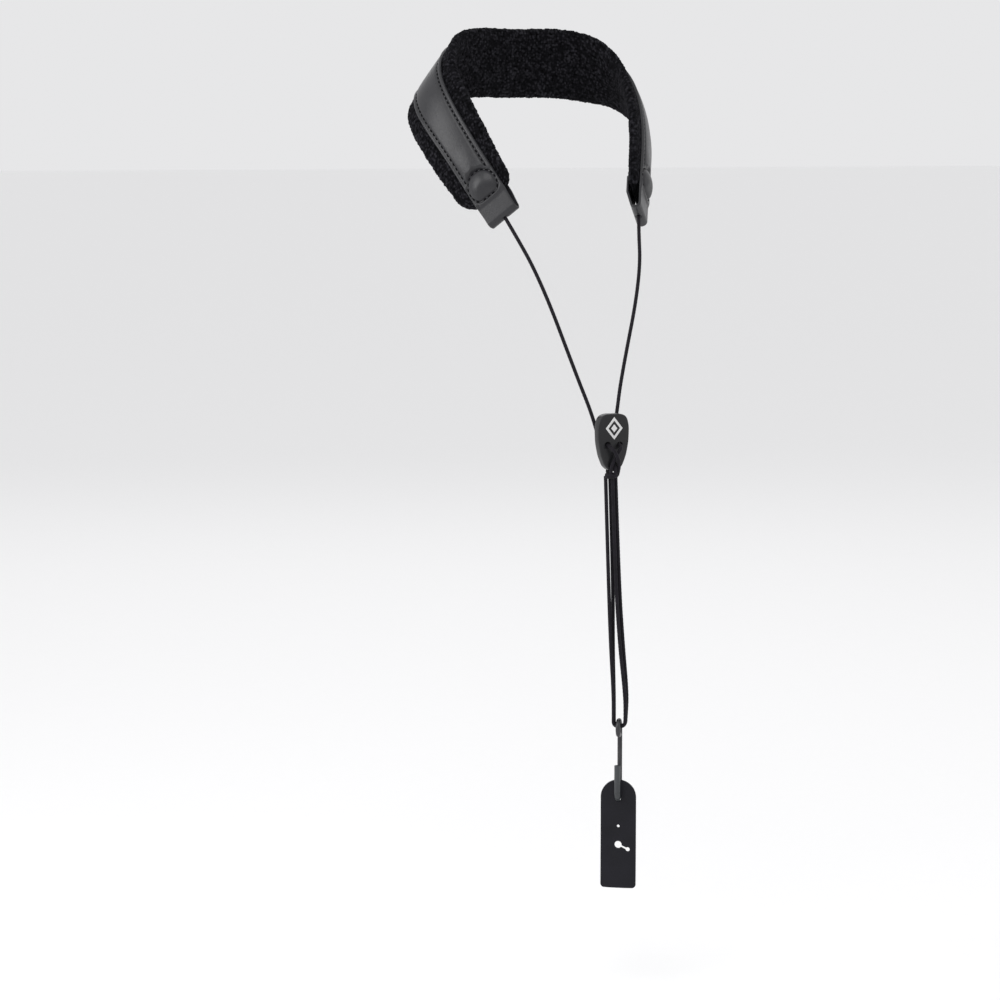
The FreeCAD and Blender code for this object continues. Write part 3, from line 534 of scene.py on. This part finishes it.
def cord_mesh(name, lines, diameter=CORD_DIAMETER, sides=CORD_SIDES):
    """Braided cord along each line: a round section with two crossing sets of ridges."""
    points, faces = [], []
    for line in lines:
        middle, length = even(line, CORD_STEP)
        tangent = unit(np.gradient(middle, axis=0))
        side = np.cross(tangent[0], (0.0, 0.0, 1.0))
        if np.linalg.norm(side) < 0.2:
            side = np.cross(tangent[0], (1.0, 0.0, 0.0))
        sides_of = []
        for t in tangent:
            side = side - t * np.dot(side, t)
            side /= np.linalg.norm(side)
            sides_of.append(side)
        side = np.array(sides_of)
        other = np.cross(tangent, side)
        angle = np.linspace(0.0, 2.0 * math.pi, sides, endpoint=False)
        run = np.linspace(0.0, length, len(middle))[:, None]
        turn = 2.0 * math.pi * run / BRAID_PITCH
        ridge = np.maximum(np.cos(BRAID_LOBES * angle + turn * 2), np.cos(BRAID_LOBES * angle - turn * 2))
        radius = diameter / 2.0 - BRAID_RELIEF * (1.0 - ridge)
        ring = (middle[:, None, :] + side[:, None, :] * (radius * np.cos(angle))[..., None]
                + other[:, None, :] * (radius * np.sin(angle))[..., None])
        first = len(points)
        points.extend(ring.reshape(-1, 3))
        faces.extend(tube_faces(len(middle), sides, first))
    return mesh_object(name, points, faces, CORD)


def mirrored(route):
    return tuple((-x, y, z) for x, y, z in route)


def make_upper_cords():
    for side, route in (("left", UPPER_CORD_ROUTE), ("right", mirrored(UPPER_CORD_ROUTE))):
        line = route_line(route)
        piece = cord_mesh("upper_cord_" + side + "_braid", [line])
        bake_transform(piece)
        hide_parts("upper_cord_" + side)


def make_crossing_cords():
    for way, route in (("under", UNDER_CORD_ROUTE), ("over", mirrored(OVER_CORD_ROUTE))):
        line = route_line(route)
        piece = cord_mesh("crossing_cord_" + way + "_braid", [line])
        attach(piece, "slider")
        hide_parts("crossing_cord_" + way)


yaw = math.radians(HOOK_YAW)
MOUTH = np.array([math.cos(yaw), math.sin(yaw), 0.0])      # the way the hook's mouth faces
ASIDE = np.array([-math.sin(yaw), math.cos(yaw), 0.0])


def hook_point(base, mouth, aside, height):
    """A point beside base, along the hook's own directions and up."""
    return tuple(np.array(base) + MOUTH * mouth + ASIDE * aside + np.array([0.0, 0.0, height]))


WRAP_FOOT = (0.0, SLIDER_Y - WRAP_FORWARD,
             SLIDER_TOP_Z - SLIDER_HEIGHT - WRAP_DROP - WRAP_HEIGHT)
LOOPS = (   # name, offset towards the mouth, and its two strands' places aside, from the top down
    ("front", LOOP_OFFSET, ((-4.8, -0.1), (-4.6, 0.3), (-4.1, 2.2), (-3.7, 4.3))),
    ("back", -LOOP_OFFSET, ((-2.2, 1.7), (-1.8, 2.2), (-3.0, 4.1), (-3.7, 5.4))),
)
SHARES = (0.0, 0.42, 0.68)  # how far down from the wrap to the eye the three upper places lie


def make_hanging_loops():
    bend_height = math.sqrt(EYE_WIRE_RADIUS ** 2 - LOOP_OFFSET ** 2)
    leg_height = bend_height + BEND_LEG
    hook_clear = leg_height + HOOK_RUN * CORD_DIAMETER
    top, eye = np.array(WRAP_FOOT) + (0.0, 0.0, STRANDS_IN_WRAP), np.array(EYE)
    for name, offset, places in LOOPS:
        left, right = ([hook_point(top + (eye - top) * share, offset, aside, 0.0)
                        for share, aside in zip(SHARES, asides)] for asides in zip(*places[:3]))
        lower = [hook_point(EYE, offset, aside, hook_clear) for aside in places[3]]
        legs = [hook_point(EYE, offset, aside, leg_height) for aside in (-BEND_RADIUS, RIGHT_LEG_ASIDE)]
        turns = [hook_point(EYE, offset, aside, bend_height - BEND_RADIUS)
                 for aside in (-BEND_RADIUS, RIGHT_TURN_ASIDE)]
        route = (*left, lower[0], legs[0], turns[0], turns[1], legs[1], lower[1], *reversed(right))
        line = route_line(route)
        piece = cord_mesh("hanging_loop_" + name, [line])
        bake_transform(piece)
        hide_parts("hanging_strands_" + name, "eye_bend_" + name)


def make_tip_hitch():
    """Turns of cord round the strands, and the loop that hangs them from the tip hole."""
    tip = SLIDER_TOP_Z - SLIDER_HEIGHT
    top = tip - WRAP_DROP
    radius = CORD_DIAMETER / 2.0
    wide, deep = WRAP_WIDTH / 2.0 - radius, WRAP_DEPTH / 2.0 - radius
    middle_y = SLIDER_Y - WRAP_FORWARD
    steps = HITCH_TURNS * HITCH_POINTS
    wrap = []
    for i in range(int(steps) + 1):
        angle = 2.0 * math.pi * i / HITCH_POINTS + HITCH_START
        drop = radius + (WRAP_HEIGHT - 2.0 * radius) * i / steps
        wrap.append((HITCH_SPREAD * wide * math.cos(angle) - HITCH_SHIFT,
                     middle_y + HITCH_SPREAD * deep * math.sin(angle),
                     top - drop + HITCH_SLANT * math.cos(angle)))
    front = SLIDER_Y - SLIDER_THICKNESS / 2.0 - TIP_LOOP_OFF
    back = SLIDER_Y + SLIDER_THICKNESS / 2.0 + TIP_LOOP_OFF
    high, low = tip + TIP_HOLE_RISE, top - WRAP_HEIGHT / 2.0
    half_way = (low + high) / 2.0
    loop = [(0.8, middle_y, low), (0.4, front, low + 0.5), (0.0, front - TIP_LOOP_BULGE, half_way),
            (0.0, front, high), (0.0, SLIDER_Y, high), (0.0, back, high),
            (0.0, back + TIP_LOOP_BULGE, half_way), (-0.4, back, low + 0.5), (-0.8, middle_y, low)]
    piece = cord_mesh("tip_hitch_turns", [route_line(wrap), route_line(loop)])
    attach(piece, "slider")
    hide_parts("tip_hitch")


# ---- padded band ----

FOLD_REACH = STRIP_END_BACK + LOOP_REACH - LOOP_INNER_RADIUS - LEATHER_THICKNESS
CORD_HOLE_AT = strip_end + FOLD_REACH + (LOOP_INNER_RADIUS + LEATHER_THICKNESS / 2.0) * math.pi / 2.0


def leather_half_width(along):
    share = smoothstep((along - TAPER_START) / (band.end - STRAIGHT_END - TAPER_START))
    width = LEATHER_HALF_WIDTH + (LEATHER_END_HALF_WIDTH - LEATHER_HALF_WIDTH) * share
    near_fold = smoothstep((along - dome_at - FOLD_TAPER_FROM_DOME) / FOLD_TAPER_LENGTH)
    return width + (FOLD_HALF_WIDTH - width) * near_fold


def ring_distance(beyond, across):
    """Distance from the dome's centre, shaped so that the ring has a straight lower side."""
    radial, straight = np.hypot(beyond, across), beyond + RING_RADIUS - CHORD_BELOW
    return (radial + straight + np.hypot(radial - straight, RING_CORNER)) / 2.0


def leather_top(along, across, half_width):
    """Height of the leather's outer face above its underside."""
    along = np.abs(along)
    inside = half_width - np.abs(across)
    beyond = along - dome_at
    rim = RIM_HEIGHT * np.sqrt(np.clip(1.0 - (1.0 - np.clip(inside / RIM_ROUND, 0.0, 1.0)) ** 2, 0.0, 1.0))
    rim = RIM_FOOT + rim * (1.0 - RIM_FOOT / RIM_HEIGHT)
    seam_fade = 1.0 - smoothstep((beyond + 9.0) / 4.0)
    groove = GROOVE_DEPTH * np.exp(-((inside - SEAM_INSET) / GROOVE_WIDTH) ** 2) * seam_fade
    gather = smoothstep((beyond + 34.0) / 18.0)
    flat_fold = smoothstep((beyond - CHORD_BELOW + 1.0) / 5.0)
    crown = (CROWN + GATHER * gather) * (1.0 - flat_fold)
    share = np.clip(np.abs(across) / np.maximum(half_width - SEAM_INSET, 1.0), 0.0, 1.0)
    padded = crown * (1.0 - share ** 2) ** 0.8
    ring = ring_distance(beyond, across)
    outside = smoothstep((ring - RING_RADIUS + 0.2) / 3.4)
    height = rim - groove + padded * outside
    height = height - (RIM_HEIGHT - LEATHER_THICKNESS) * flat_fold * outside
    height = height - RING_GROOVE_DEPTH * np.exp(-((ring - RING_RADIUS) / RING_GROOVE_WIDTH) ** 2)
    angle = np.arctan2(across, beyond + 1e-9)
    pucker = np.exp(-((ring - RING_RADIUS - 2.0) / 1.5) ** 2) * (beyond < 4.0)
    height = height + PUCKER_HEIGHT * np.sin(PUCKERS * angle) * pucker
    from_hole = np.hypot(along - CORD_HOLE_AT, across) / CORD_DIMPLE_RADIUS
    height = height - CORD_DIMPLE_DEPTH * np.exp(-from_hole ** 4)
    dome = DOME_RISE * np.clip(1.0 - (ring / (RING_RADIUS - 0.3)) ** 2, 0.0, 1.0) ** 0.75
    return np.maximum(height + dome * (1.0 - outside), THINNEST_LEATHER)


def fold_walk():
    """Distances, places and headings of the folded end's middle line, past the flat strip."""
    radius = LOOP_INNER_RADIUS + LEATHER_THICKNESS / 2.0
    start_height = LAYER_GAP + LEATHER_THICKNESS / 2.0
    flap_height = -FLEECE_THICKNESS - FLAP_GAP - LEATHER_THICKNESS / 2.0
    slope = math.radians(FLAP_SLOPE)
    fold_end_height = start_height - radius * (1.0 + math.cos(slope))
    ease_drop = FLAP_EASE_RADIUS * (1.0 - math.cos(slope))
    slant = (fold_end_height - flap_height - ease_drop) / math.sin(slope)
    flap_start = (FOLD_REACH + radius * math.sin(slope) - slant * math.cos(slope)
                  - FLAP_EASE_RADIUS * math.sin(slope))
    moves = ((FOLD_REACH, 0.0), (radius * (math.pi - slope), -(math.pi - slope)), (slant, 0.0),
             (FLAP_EASE_RADIUS * slope, -slope), (flap_start + FLAP_UNDER_BAND - STRIP_END_BACK, 0.0))
    run, turn = [0.0], [0.0]
    for length, angle in moves:
        pieces = max(1, int(length / 0.42)) if angle == 0.0 else max(6, int(length / 0.35))
        for i in range(pieces):
            run.append(run[-1] + length / pieces)
            turn.append(turn[-1] + angle / pieces)
    run, turn = np.array(run), np.array(turn)
    middle = (turn[1:] + turn[:-1]) / 2.0
    step = np.diff(run)
    x = np.concatenate([[0.0], np.cumsum(np.cos(middle) * step)])
    y = start_height + np.concatenate([[0.0], np.cumsum(np.sin(middle) * step)])
    return run, x, y, turn


def leather_section(half_width):
    """Places across the leather, close together at the rims."""
    edge = np.array([0.0, 0.12, 0.35, 0.7, 1.1, 1.6, 2.1, 2.5, 2.85, 3.15, 3.4, 3.65, 3.95, 4.3, 4.8])
    inner = np.linspace(half_width - 5.4, -(half_width - 5.4), 39)
    return np.concatenate([-(half_width - edge), inner[::-1], (half_width - edge)[::-1]])


def make_leather():
    """One strip of leather round the band, with its domes, and a folded loop at each end."""
    run, x, y, turn = fold_walk()
    finer_from = dome_at - 18.0
    flat = np.concatenate([np.linspace(0.0, finer_from, 225), np.linspace(finer_from, strip_end, 50)[1:]])
    end_origin, end_tangent, end_normal, end_lower = band.frames(np.array([strip_end]))
    origins, _, normals, lowers = band.frames(flat)
    middle_height = LAYER_GAP + LEATHER_THICKNESS / 2.0
    origins = origins + normals * middle_height
    more = run[1:]
    fold_origins = end_origin + end_tangent * x[1:, None] + end_normal * y[1:, None]
    fold_normals = -end_tangent * np.sin(turn[1:])[:, None] + end_normal * np.cos(turn[1:])[:, None]
    fold_lowers = np.repeat(end_lower, len(more), axis=0)
    distance = np.concatenate([flat, strip_end + more])
    origins = np.vstack([origins, fold_origins])
    normals = np.vstack([normals, fold_normals])
    lowers = np.vstack([lowers, fold_lowers])
    half_width = leather_half_width(distance)
    rows = []
    for i, s in enumerate(distance):
        across = leather_section(half_width[i])
        top = leather_top(s, across, half_width[i])
        under_edge = np.array([half_width[i] - 0.1, half_width[i] - 0.5, 0.0])
        under = np.concatenate([under_edge, -under_edge[1::-1]])
        widths = np.concatenate([across, under])
        heights = np.concatenate([top, [0.08, 0.0, 0.0, 0.0, 0.08]]) - LEATHER_THICKNESS / 2.0
        rows.append(origins[i] + lowers[i] * widths[:, None] + normals[i] * heights[:, None])
    half = np.array(rows)
    both = np.concatenate([half[:0:-1] * MIRROR, half])
    faces = tube_faces(len(both), both.shape[1])
    piece = mesh_object("leather_strip", both.reshape(-1, 3), faces, LEATHER)
    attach(piece, "band")
    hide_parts("leather_band", "dome_cap_left", "dome_cap_right")


def tuft_heights(rng, u, v, u_size, v_size, v_period):
    """Rounded tufts on a shaken grid; v wraps round the section."""
    columns = int(round(v_period / v_size))
    rows = int(np.max(u) / u_size) + 4
    shake = rng.random((rows, columns, 3))
    cu = u / u_size + 1.0
    cv = v / v_period * columns
    iu, iv = np.floor(cu).astype(int), np.floor(cv).astype(int)
    best = np.zeros(u.shape)
    for du in (-1, 0, 1):
        for dv in (-1, 0, 1):
            a = np.clip(iu + du, 0, rows - 1)
            b = (iv + dv) % columns
            there = shake[a, b]
            far = np.hypot(cu - (iu + du + 0.5 + 0.7 * (there[..., 0] - 0.5)),
                           cv - (iv + dv + 0.5 + 0.7 * (there[..., 1] - 0.5)))
            tall = 0.55 + 0.45 * there[..., 2]
            best = np.maximum(best, tall * np.sqrt(np.clip(1.0 - (far / 0.78) ** 2, 0.0, 1.0)))
    return best


def make_pile():
    """The pile-covered pad: a crowned band with rounded ends and a surface of small loops."""
    rng = np.random.default_rng(11)
    half_thick = (FLEECE_THICKNESS - LAYER_GAP) / 2.0
    middle_height = -(FLEECE_THICKNESS + LAYER_GAP) / 2.0
    bluntness = 3.4
    around = 176
    fine = np.linspace(0.0, 2.0 * math.pi, 4001)
    cosine, sine = np.cos(fine), np.sin(fine)
    outline = np.stack([np.sign(cosine) * np.abs(cosine) ** (2.0 / bluntness) * FLEECE_HALF_WIDTH,
                        np.sign(sine) * np.abs(sine) ** (2.0 / bluntness) * half_thick], axis=1)
    run = run_along(outline)
    at = np.linspace(0.0, run[-1], around, endpoint=False)
    across = np.interp(at, run, outline[:, 0])
    height = np.interp(at, run, outline[:, 1])
    reach = band.end - PILE_END_BACK
    ends = reach - LOWER_END_RADIUS * (1.0 - np.cos(np.linspace(0.0, math.pi / 2.0, 34)))
    flat = np.linspace(-ends[-1], ends[-1], int(2.0 * ends[-1] / 0.62))
    along = np.concatenate([-ends[:-1], flat, ends[:-1][::-1]])
    from_end = reach - np.abs(along)

    def side_width(radius, more):
        back = np.clip(from_end, 0.0, radius)
        return FLEECE_HALF_WIDTH + more - radius + np.sqrt(radius ** 2 - (radius - back) ** 2)

    def narrowing(amount, begin, length):
        return amount * smoothstep((np.abs(along) - begin) / length)

    neck_side = side_width(FLEECE_END_RADIUS, -sum(narrowing(*place) for place in NECK_SIDE_NARROWS))
    lower_side = side_width(LOWER_END_RADIUS, LOWER_SIDE_MORE - narrowing(*LOWER_SIDE_NARROWS))
    thin = np.clip(from_end / half_thick, 0.0, 1.0)
    thickness = 0.30 + 0.70 * np.sqrt(1.0 - (1.0 - thin) ** 2)
    width = across[None, :] * np.where(across[None, :] > 0.0, lower_side[:, None],
                                       neck_side[:, None]) / FLEECE_HALF_WIDTH
    level = middle_height + height[None, :] * thickness[:, None]
    points = band.points(along[:, None], width, level)
    d_along = np.gradient(points, axis=0)
    d_around = np.roll(points, -1, axis=1) - np.roll(points, 1, axis=1)
    normal = np.cross(d_along, d_around)
    middle = band.points(along, 0.0, middle_height)[:, None, :]
    flip = np.sign(np.sum(normal * (points - middle), axis=-1).mean())
    normal = unit(normal * flip + 1e-12)
    u = np.broadcast_to((along - along[0])[:, None], width.shape)
    v = np.broadcast_to(at[None, :], width.shape)
    tufts = tuft_heights(rng, u, v, *TUFT_SIZE, run[-1])
    clumps = tuft_heights(rng, u, v, *CLUMP_SIZE, run[-1])
    half_leather = leather_half_width(np.abs(along))[:, None]
    under_leather = (level > middle_height) * smoothstep((half_leather + 0.3 - np.abs(width)) / 1.2)
    under_flap = ((level < middle_height) * smoothstep((FOLD_HALF_WIDTH + 0.6 - np.abs(width)) / 1.0)
                  * smoothstep((np.abs(along)[:, None] - band.end + FLAP_UNDER_BAND + 1.0) / 1.5))
    free = 1.0 - np.maximum(under_leather, under_flap)
    lift = (tufts * TUFT_RISE + clumps * CLUMP_RISE - PILE_SUNK) * free - PILE_PRESSED * (1.0 - free)
    points = points + normal * lift[..., None]
    piece = mesh_object("pile_pad", points.reshape(-1, 3), tube_faces(along.size, around), PILE)
    # Tuft heights, which the pile material turns into painted shade between tufts and a painted highlight on
    # their tops.
    painted_shade_height = piece.data.attributes.new("tuft", "FLOAT", "POINT")
    painted_shade_height.data.foreach_set("value", (tufts * 0.85 + clumps * 0.15).astype(np.float32).ravel())
    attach(piece, "band")
    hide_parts("fleece_cover", "foam_core")


def stitch_mesh(name, stitches):
    """Short sunk threads, from (start, end, outward) in millimetres."""
    points, faces = [], []
    shares = np.array([0.0, 0.12, 0.5, 0.88, 1.0])
    radii = np.array([0.08, 0.40, 0.50, 0.40, 0.08])
    lifts = np.array([-0.35, 0.10, 0.32, 0.10, -0.35])
    sides = 8
    angle = np.linspace(0.0, 2.0 * math.pi, sides, endpoint=False)
    for start, end, outward in stitches:
        way = unit(end - start)
        side = np.cross(way, outward)
        first = len(points)
        for share, radius, lift in zip(shares, radii, lifts):
            middle = start + (end - start) * share + outward * lift
            points.extend(middle + side * radius * math.cos(a) + outward * radius * math.sin(a)
                          for a in angle)
        faces.extend(tube_faces(len(shares), sides, first))
    return mesh_object(name, points, faces, THREAD)


def on_leather(along, across):
    """Points on the leather's outer face, and the outward directions there."""
    along, across = np.broadcast_arrays(np.asarray(along, float), np.asarray(across, float))
    half_width = leather_half_width(np.abs(along))
    height = LAYER_GAP + leather_top(along, across, half_width)
    points = band.points(along, across, height)
    outward = unit(band.points(along, across, height + 1.0) - points)
    return points, outward


def stitches_along(along, across):
    """Stitches that follow a line on the leather, given as many close points."""
    points, _ = on_leather(along, across)
    run = run_along(points)
    count = int(run[-1] / STITCH_PITCH)
    slack = (run[-1] - count * STITCH_PITCH) / 2.0
    made = []
    for i in range(count):
        at = slack + (i + 0.5) * STITCH_PITCH
        ends = [at - STITCH_LENGTH / 2.0, at, at + STITCH_LENGTH / 2.0]
        place, outward = on_leather(np.interp(ends, run, along), np.interp(ends, run, across))
        made.append((place[0], place[2], outward[1]))
    return made


def make_stitches():
    meet = dome_at - math.sqrt(RING_RADIUS ** 2 - (LEATHER_END_HALF_WIDTH - SEAM_INSET) ** 2) - SEAM_STOP
    along = np.linspace(-meet, meet, 1200)
    for name, side in (("upper", -1), ("lower", 1)):
        across = side * (leather_half_width(np.abs(along)) - SEAM_INSET)
        piece = stitch_mesh("edge_threads_" + name, stitches_along(along, across))
        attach(piece, "band")
        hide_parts("edge_stitching_" + name)
    half_chord = math.sqrt(RING_RADIUS ** 2 - CHORD_BELOW ** 2)
    corner = math.atan2(half_chord, CHORD_BELOW)
    turn = np.linspace(corner, 2.0 * math.pi - corner, 400)
    for name, side in (("left", 1), ("right", -1)):
        ring = stitches_along(side * (dome_at + RING_RADIUS * np.cos(turn)), RING_RADIUS * np.sin(turn))
        chord = stitches_along(np.full(200, side * (dome_at + CHORD_BELOW)),
                               np.linspace(-half_chord, half_chord, 200))
        piece = stitch_mesh("dome_threads_" + name, ring + chord)
        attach(piece, "band")
        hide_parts("dome_stitching_" + name)


def make_knots():
    """A barrel knot inside each folded end, on the cord."""
    start_height = LAYER_GAP + LEATHER_THICKNESS / 2.0
    level = start_height - LOOP_INNER_RADIUS - LEATHER_THICKNESS / 2.0
    origin, tangent, normal, lower = (v[0] for v in band.frames(np.array([strip_end])))
    for name, side in (("left", 1.0), ("right", -1.0)):
        coil = []
        for i in range(KNOT_TURNS * KNOT_POINTS + 1):
            angle = 2.0 * math.pi * i / KNOT_POINTS
            x = FOLD_REACH + KNOT_START - KNOT_LENGTH * i / (KNOT_TURNS * KNOT_POINTS)
            place = (origin + tangent * x + normal * (level + KNOT_COIL_RADIUS * math.sin(angle))
                     + lower * KNOT_COIL_RADIUS * math.cos(angle))
            coil.append((place[0] * side, place[1], place[2]))
        piece = cord_mesh("cord_knot_" + name + "_coil", [route_line(coil)],
                          diameter=KNOT_CORD_DIAMETER, sides=KNOT_SIDES)
        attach(piece, "band")
        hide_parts("cord_knot_" + name)


# ---- slider, emblem and tab: bevelled plates from flat outlines ----

def circle(radius, x, y, count=40):
    angles = [2.0 * math.pi * i / count for i in range(count)]
    return [(x + radius * math.cos(angle), y + radius * math.sin(angle)) for angle in angles]


def plate_mesh(outline, holes, thickness, bevel, smooth_outline=False):
    """Vertices and faces of a plate with rounded edges and hole lips, in its own plane."""
    data = bpy.data.curves.new("plate", "CURVE")
    data.dimensions = "2D"
    data.fill_mode = "BOTH"
    data.extrude = (thickness / 2.0 - bevel) * MM
    data.bevel_depth = bevel * MM
    data.bevel_resolution = 3
    data.offset = -bevel * MM
    for shape, smooth in [(outline, smooth_outline)] + [(list(reversed(h)), False) for h in holes]:
        spline = data.splines.new("BEZIER" if smooth else "POLY")
        points = spline.bezier_points if smooth else spline.points
        points.add(len(shape) - 1)
        for point, (x, y) in zip(points, shape):
            point.co = (x * MM, y * MM, 0.0) if smooth else (x * MM, y * MM, 0.0, 1.0)
            if smooth:
                point.handle_left_type = point.handle_right_type = "AUTO"
        spline.use_cyclic_u = True
        spline.resolution_u = 10
    holder = bpy.data.objects.new("plate", data)
    bpy.context.collection.objects.link(holder)
    mesh = bpy.data.meshes.new_from_object(holder.evaluated_get(bpy.context.evaluated_depsgraph_get()))
    bpy.data.objects.remove(holder)
    return mesh


def finish_plate(name, mesh, material, sharp=35.0):
    work = bmesh.new()
    work.from_mesh(mesh)
    bmesh.ops.remove_doubles(work, verts=work.verts, dist=MERGE_DISTANCE * MM)
    bmesh.ops.recalc_face_normals(work, faces=work.faces)
    work.to_mesh(mesh)
    work.free()
    mesh.materials.clear()
    mesh.materials.append(material)
    mesh.polygons.foreach_set("use_smooth", [True] * len(mesh.polygons))
    mesh.set_sharp_from_angle(angle=math.radians(sharp))
    piece = bpy.data.objects.new(name, mesh)
    bpy.context.collection.objects.link(piece)
    return piece


def upright(depth, level):
    """Stands a flat plate up, facing the front, with its origin at that depth and level."""
    return Matrix(((1, 0, 0, 0), (0, 0, -1, depth * MM), (0, 1, 0, level * MM), (0, 0, 0, 1)))


def make_slider():
    half, tall = SLIDER_HALF_WIDTH, SLIDER_HEIGHT
    shape = ((0.0, 0.0), (0.55, -0.01), (0.80, -0.05), (0.95, -0.14), (1.0, -0.38), (0.90, -0.62),
             (0.71, -0.81), (0.44, -0.945), (0.0, -1.0))
    right = [(x * half, z * tall) for x, z in shape]
    left = [(-x, z) for x, z in reversed(right[1:-1])]
    outline = list(reversed(right + left))
    hole = CORD_DIAMETER / 2.0 + CORD_HOLE_CLEARANCE
    spots = ((-SLIDER_HOLE_X, -SLIDER_HOLE_DROP), (SLIDER_HOLE_X, -SLIDER_HOLE_DROP),
             (0.0, TIP_HOLE_RISE - SLIDER_HEIGHT))
    mesh = plate_mesh(outline, [circle(hole, x, z) for x, z in spots], SLIDER_THICKNESS, SLIDER_EDGE, True)
    mesh.transform(upright(SLIDER_Y, SLIDER_TOP_Z))
    piece = finish_plate("slider_shield", mesh, SLIDER_PLASTIC)
    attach(piece, "slider")
    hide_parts("slider_body")


def make_emblem():
    """A plain open lozenge with a small lozenge inside."""
    wide, tall = EMBLEM_HALF_WIDTH, EMBLEM_HEIGHT / 2.0

    def lozenge(share):
        return [(wide * share, 0.0), (0.0, tall * share), (-wide * share, 0.0), (0.0, -tall * share)]

    ring = plate_mesh(lozenge(1.0), [lozenge(EMBLEM_OPENING)], EMBLEM_THICKNESS, EMBLEM_EDGE)
    core = plate_mesh(lozenge(EMBLEM_CENTRE), [], EMBLEM_THICKNESS, EMBLEM_EDGE)
    front = SLIDER_Y - SLIDER_THICKNESS / 2.0
    for name, mesh in (("emblem_outline", ring), ("emblem_centre", core)):
        mesh.transform(upright(front, SLIDER_TOP_Z - EMBLEM_DROP))
        piece = finish_plate(name, mesh, SILVER)
        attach(piece, "slider")
        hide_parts("slider_emblem")


def make_tab():
    wire = -HOOK_BEND_DROP - HOOK_BEND_RADIUS + WIRE_DIAMETER / 2.0 + TAB_HANG_CLEARANCE
    top = wire + TAB_ABOVE_WIRE
    half = TAB_WIDTH / 2.0
    bottom = top - TAB_LENGTH
    corner = TAB_CORNER_RADIUS
    outline = [(half * math.cos(math.pi * i / 40), top - half + half * math.sin(math.pi * i / 40))
               for i in range(41)]
    outline += [(-half + corner - corner * math.cos(a), bottom + corner - corner * math.sin(a))
                for a in np.linspace(0.0, math.pi / 2.0, 8)]
    outline += [(half - corner + corner * math.sin(a), bottom + corner - corner * math.cos(a))
                for a in np.linspace(0.0, math.pi / 2.0, 8)]
    key = (KEY_END_SIDE, top - KEY_END_DROP)
    button = (0.0, top - BUTTON_HOLE_DROP)
    slant = math.atan2(key[1] - button[1], key[0] - button[0])
    slit = KEY_SLIT_WIDTH / 2.0
    open_button = math.asin(slit / BUTTON_HOLE_RADIUS)
    open_key = math.asin(slit / KEY_END_RADIUS)
    keyhole = [(button[0] + BUTTON_HOLE_RADIUS * math.cos(a + slant),
                button[1] + BUTTON_HOLE_RADIUS * math.sin(a + slant))
               for a in np.linspace(open_button, 2.0 * math.pi - open_button, 32)]
    keyhole += [(key[0] + KEY_END_RADIUS * math.cos(a + slant), key[1] + KEY_END_RADIUS * math.sin(a + slant))
                for a in np.linspace(open_key - math.pi, math.pi - open_key, 22)]
    holes = [circle(TAB_HANG_RADIUS, 0.0, wire - TAB_HANG_RADIUS),
             circle(PILOT_HOLE_RADIUS, 0.0, top - PILOT_HOLE_DROP, 24), keyhole]
    mesh = plate_mesh(outline, holes, TAB_THICKNESS, TAB_EDGE)
    work = bmesh.new()
    work.from_mesh(mesh)
    bmesh.ops.remove_doubles(work, verts=work.verts, dist=MERGE_DISTANCE * MM)
    for z in np.linspace(bottom, top, 38)[1:-1]:
        bmesh.ops.bisect_plane(work, geom=work.verts[:] + work.edges[:] + work.faces[:],
                               plane_co=(0, z * MM, 0), plane_no=(0, 1, 0))
    for x in np.linspace(-half, half, 14)[1:-1]:
        bmesh.ops.bisect_plane(work, geom=work.verts[:] + work.edges[:] + work.faces[:],
                               plane_co=(x * MM, 0, 0), plane_no=(1, 0, 0))
    hang = (wire - TAB_HANG_RADIUS) * MM
    for vertex in work.verts:
        x, z = vertex.co.x, vertex.co.y
        below = (hang - z) / (TAB_LENGTH * MM)
        cup = TAB_CUP * MM * (x / (half * MM)) ** 2 * min(1.0, max(0.0, below))
        bow = TAB_BOW * MM * max(0.0, below) ** 2
        vertex.co.z += bow - cup
    work.to_mesh(mesh)
    work.free()
    eye = np.array(EYE) + MOUTH * HOOK_BEND_SHIFT
    place = Matrix(((ASIDE[0], 0, MOUTH[0], eye[0] * MM), (ASIDE[1], 0, MOUTH[1], eye[1] * MM),
                    (0, 1, 0, eye[2] * MM), (0, 0, 0, 1)))
    mesh.transform(place)
    piece = finish_plate("thumb_tab_leather", mesh, TAB_LEATHER, sharp=50.0)
    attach(piece, "tab")
    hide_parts("thumb_rest_tab")


def finish_cad_nodes():
    """The bent wire and its sleeve keep their CAD shape and get their finish."""
    for name, material in (("hook_wire", GUNMETAL), ("hook_sleeve", SLEEVE)):
        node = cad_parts[name]
        for slot in node.material_slots:
            slot.material = material


make_camera()
make_stage()
make_upper_cords()
make_crossing_cords()
make_hanging_loops()
make_tip_hitch()
make_leather()
make_pile()
make_stitches()
make_knots()
make_slider()
make_emblem()
make_tab()
finish_cad_nodes()
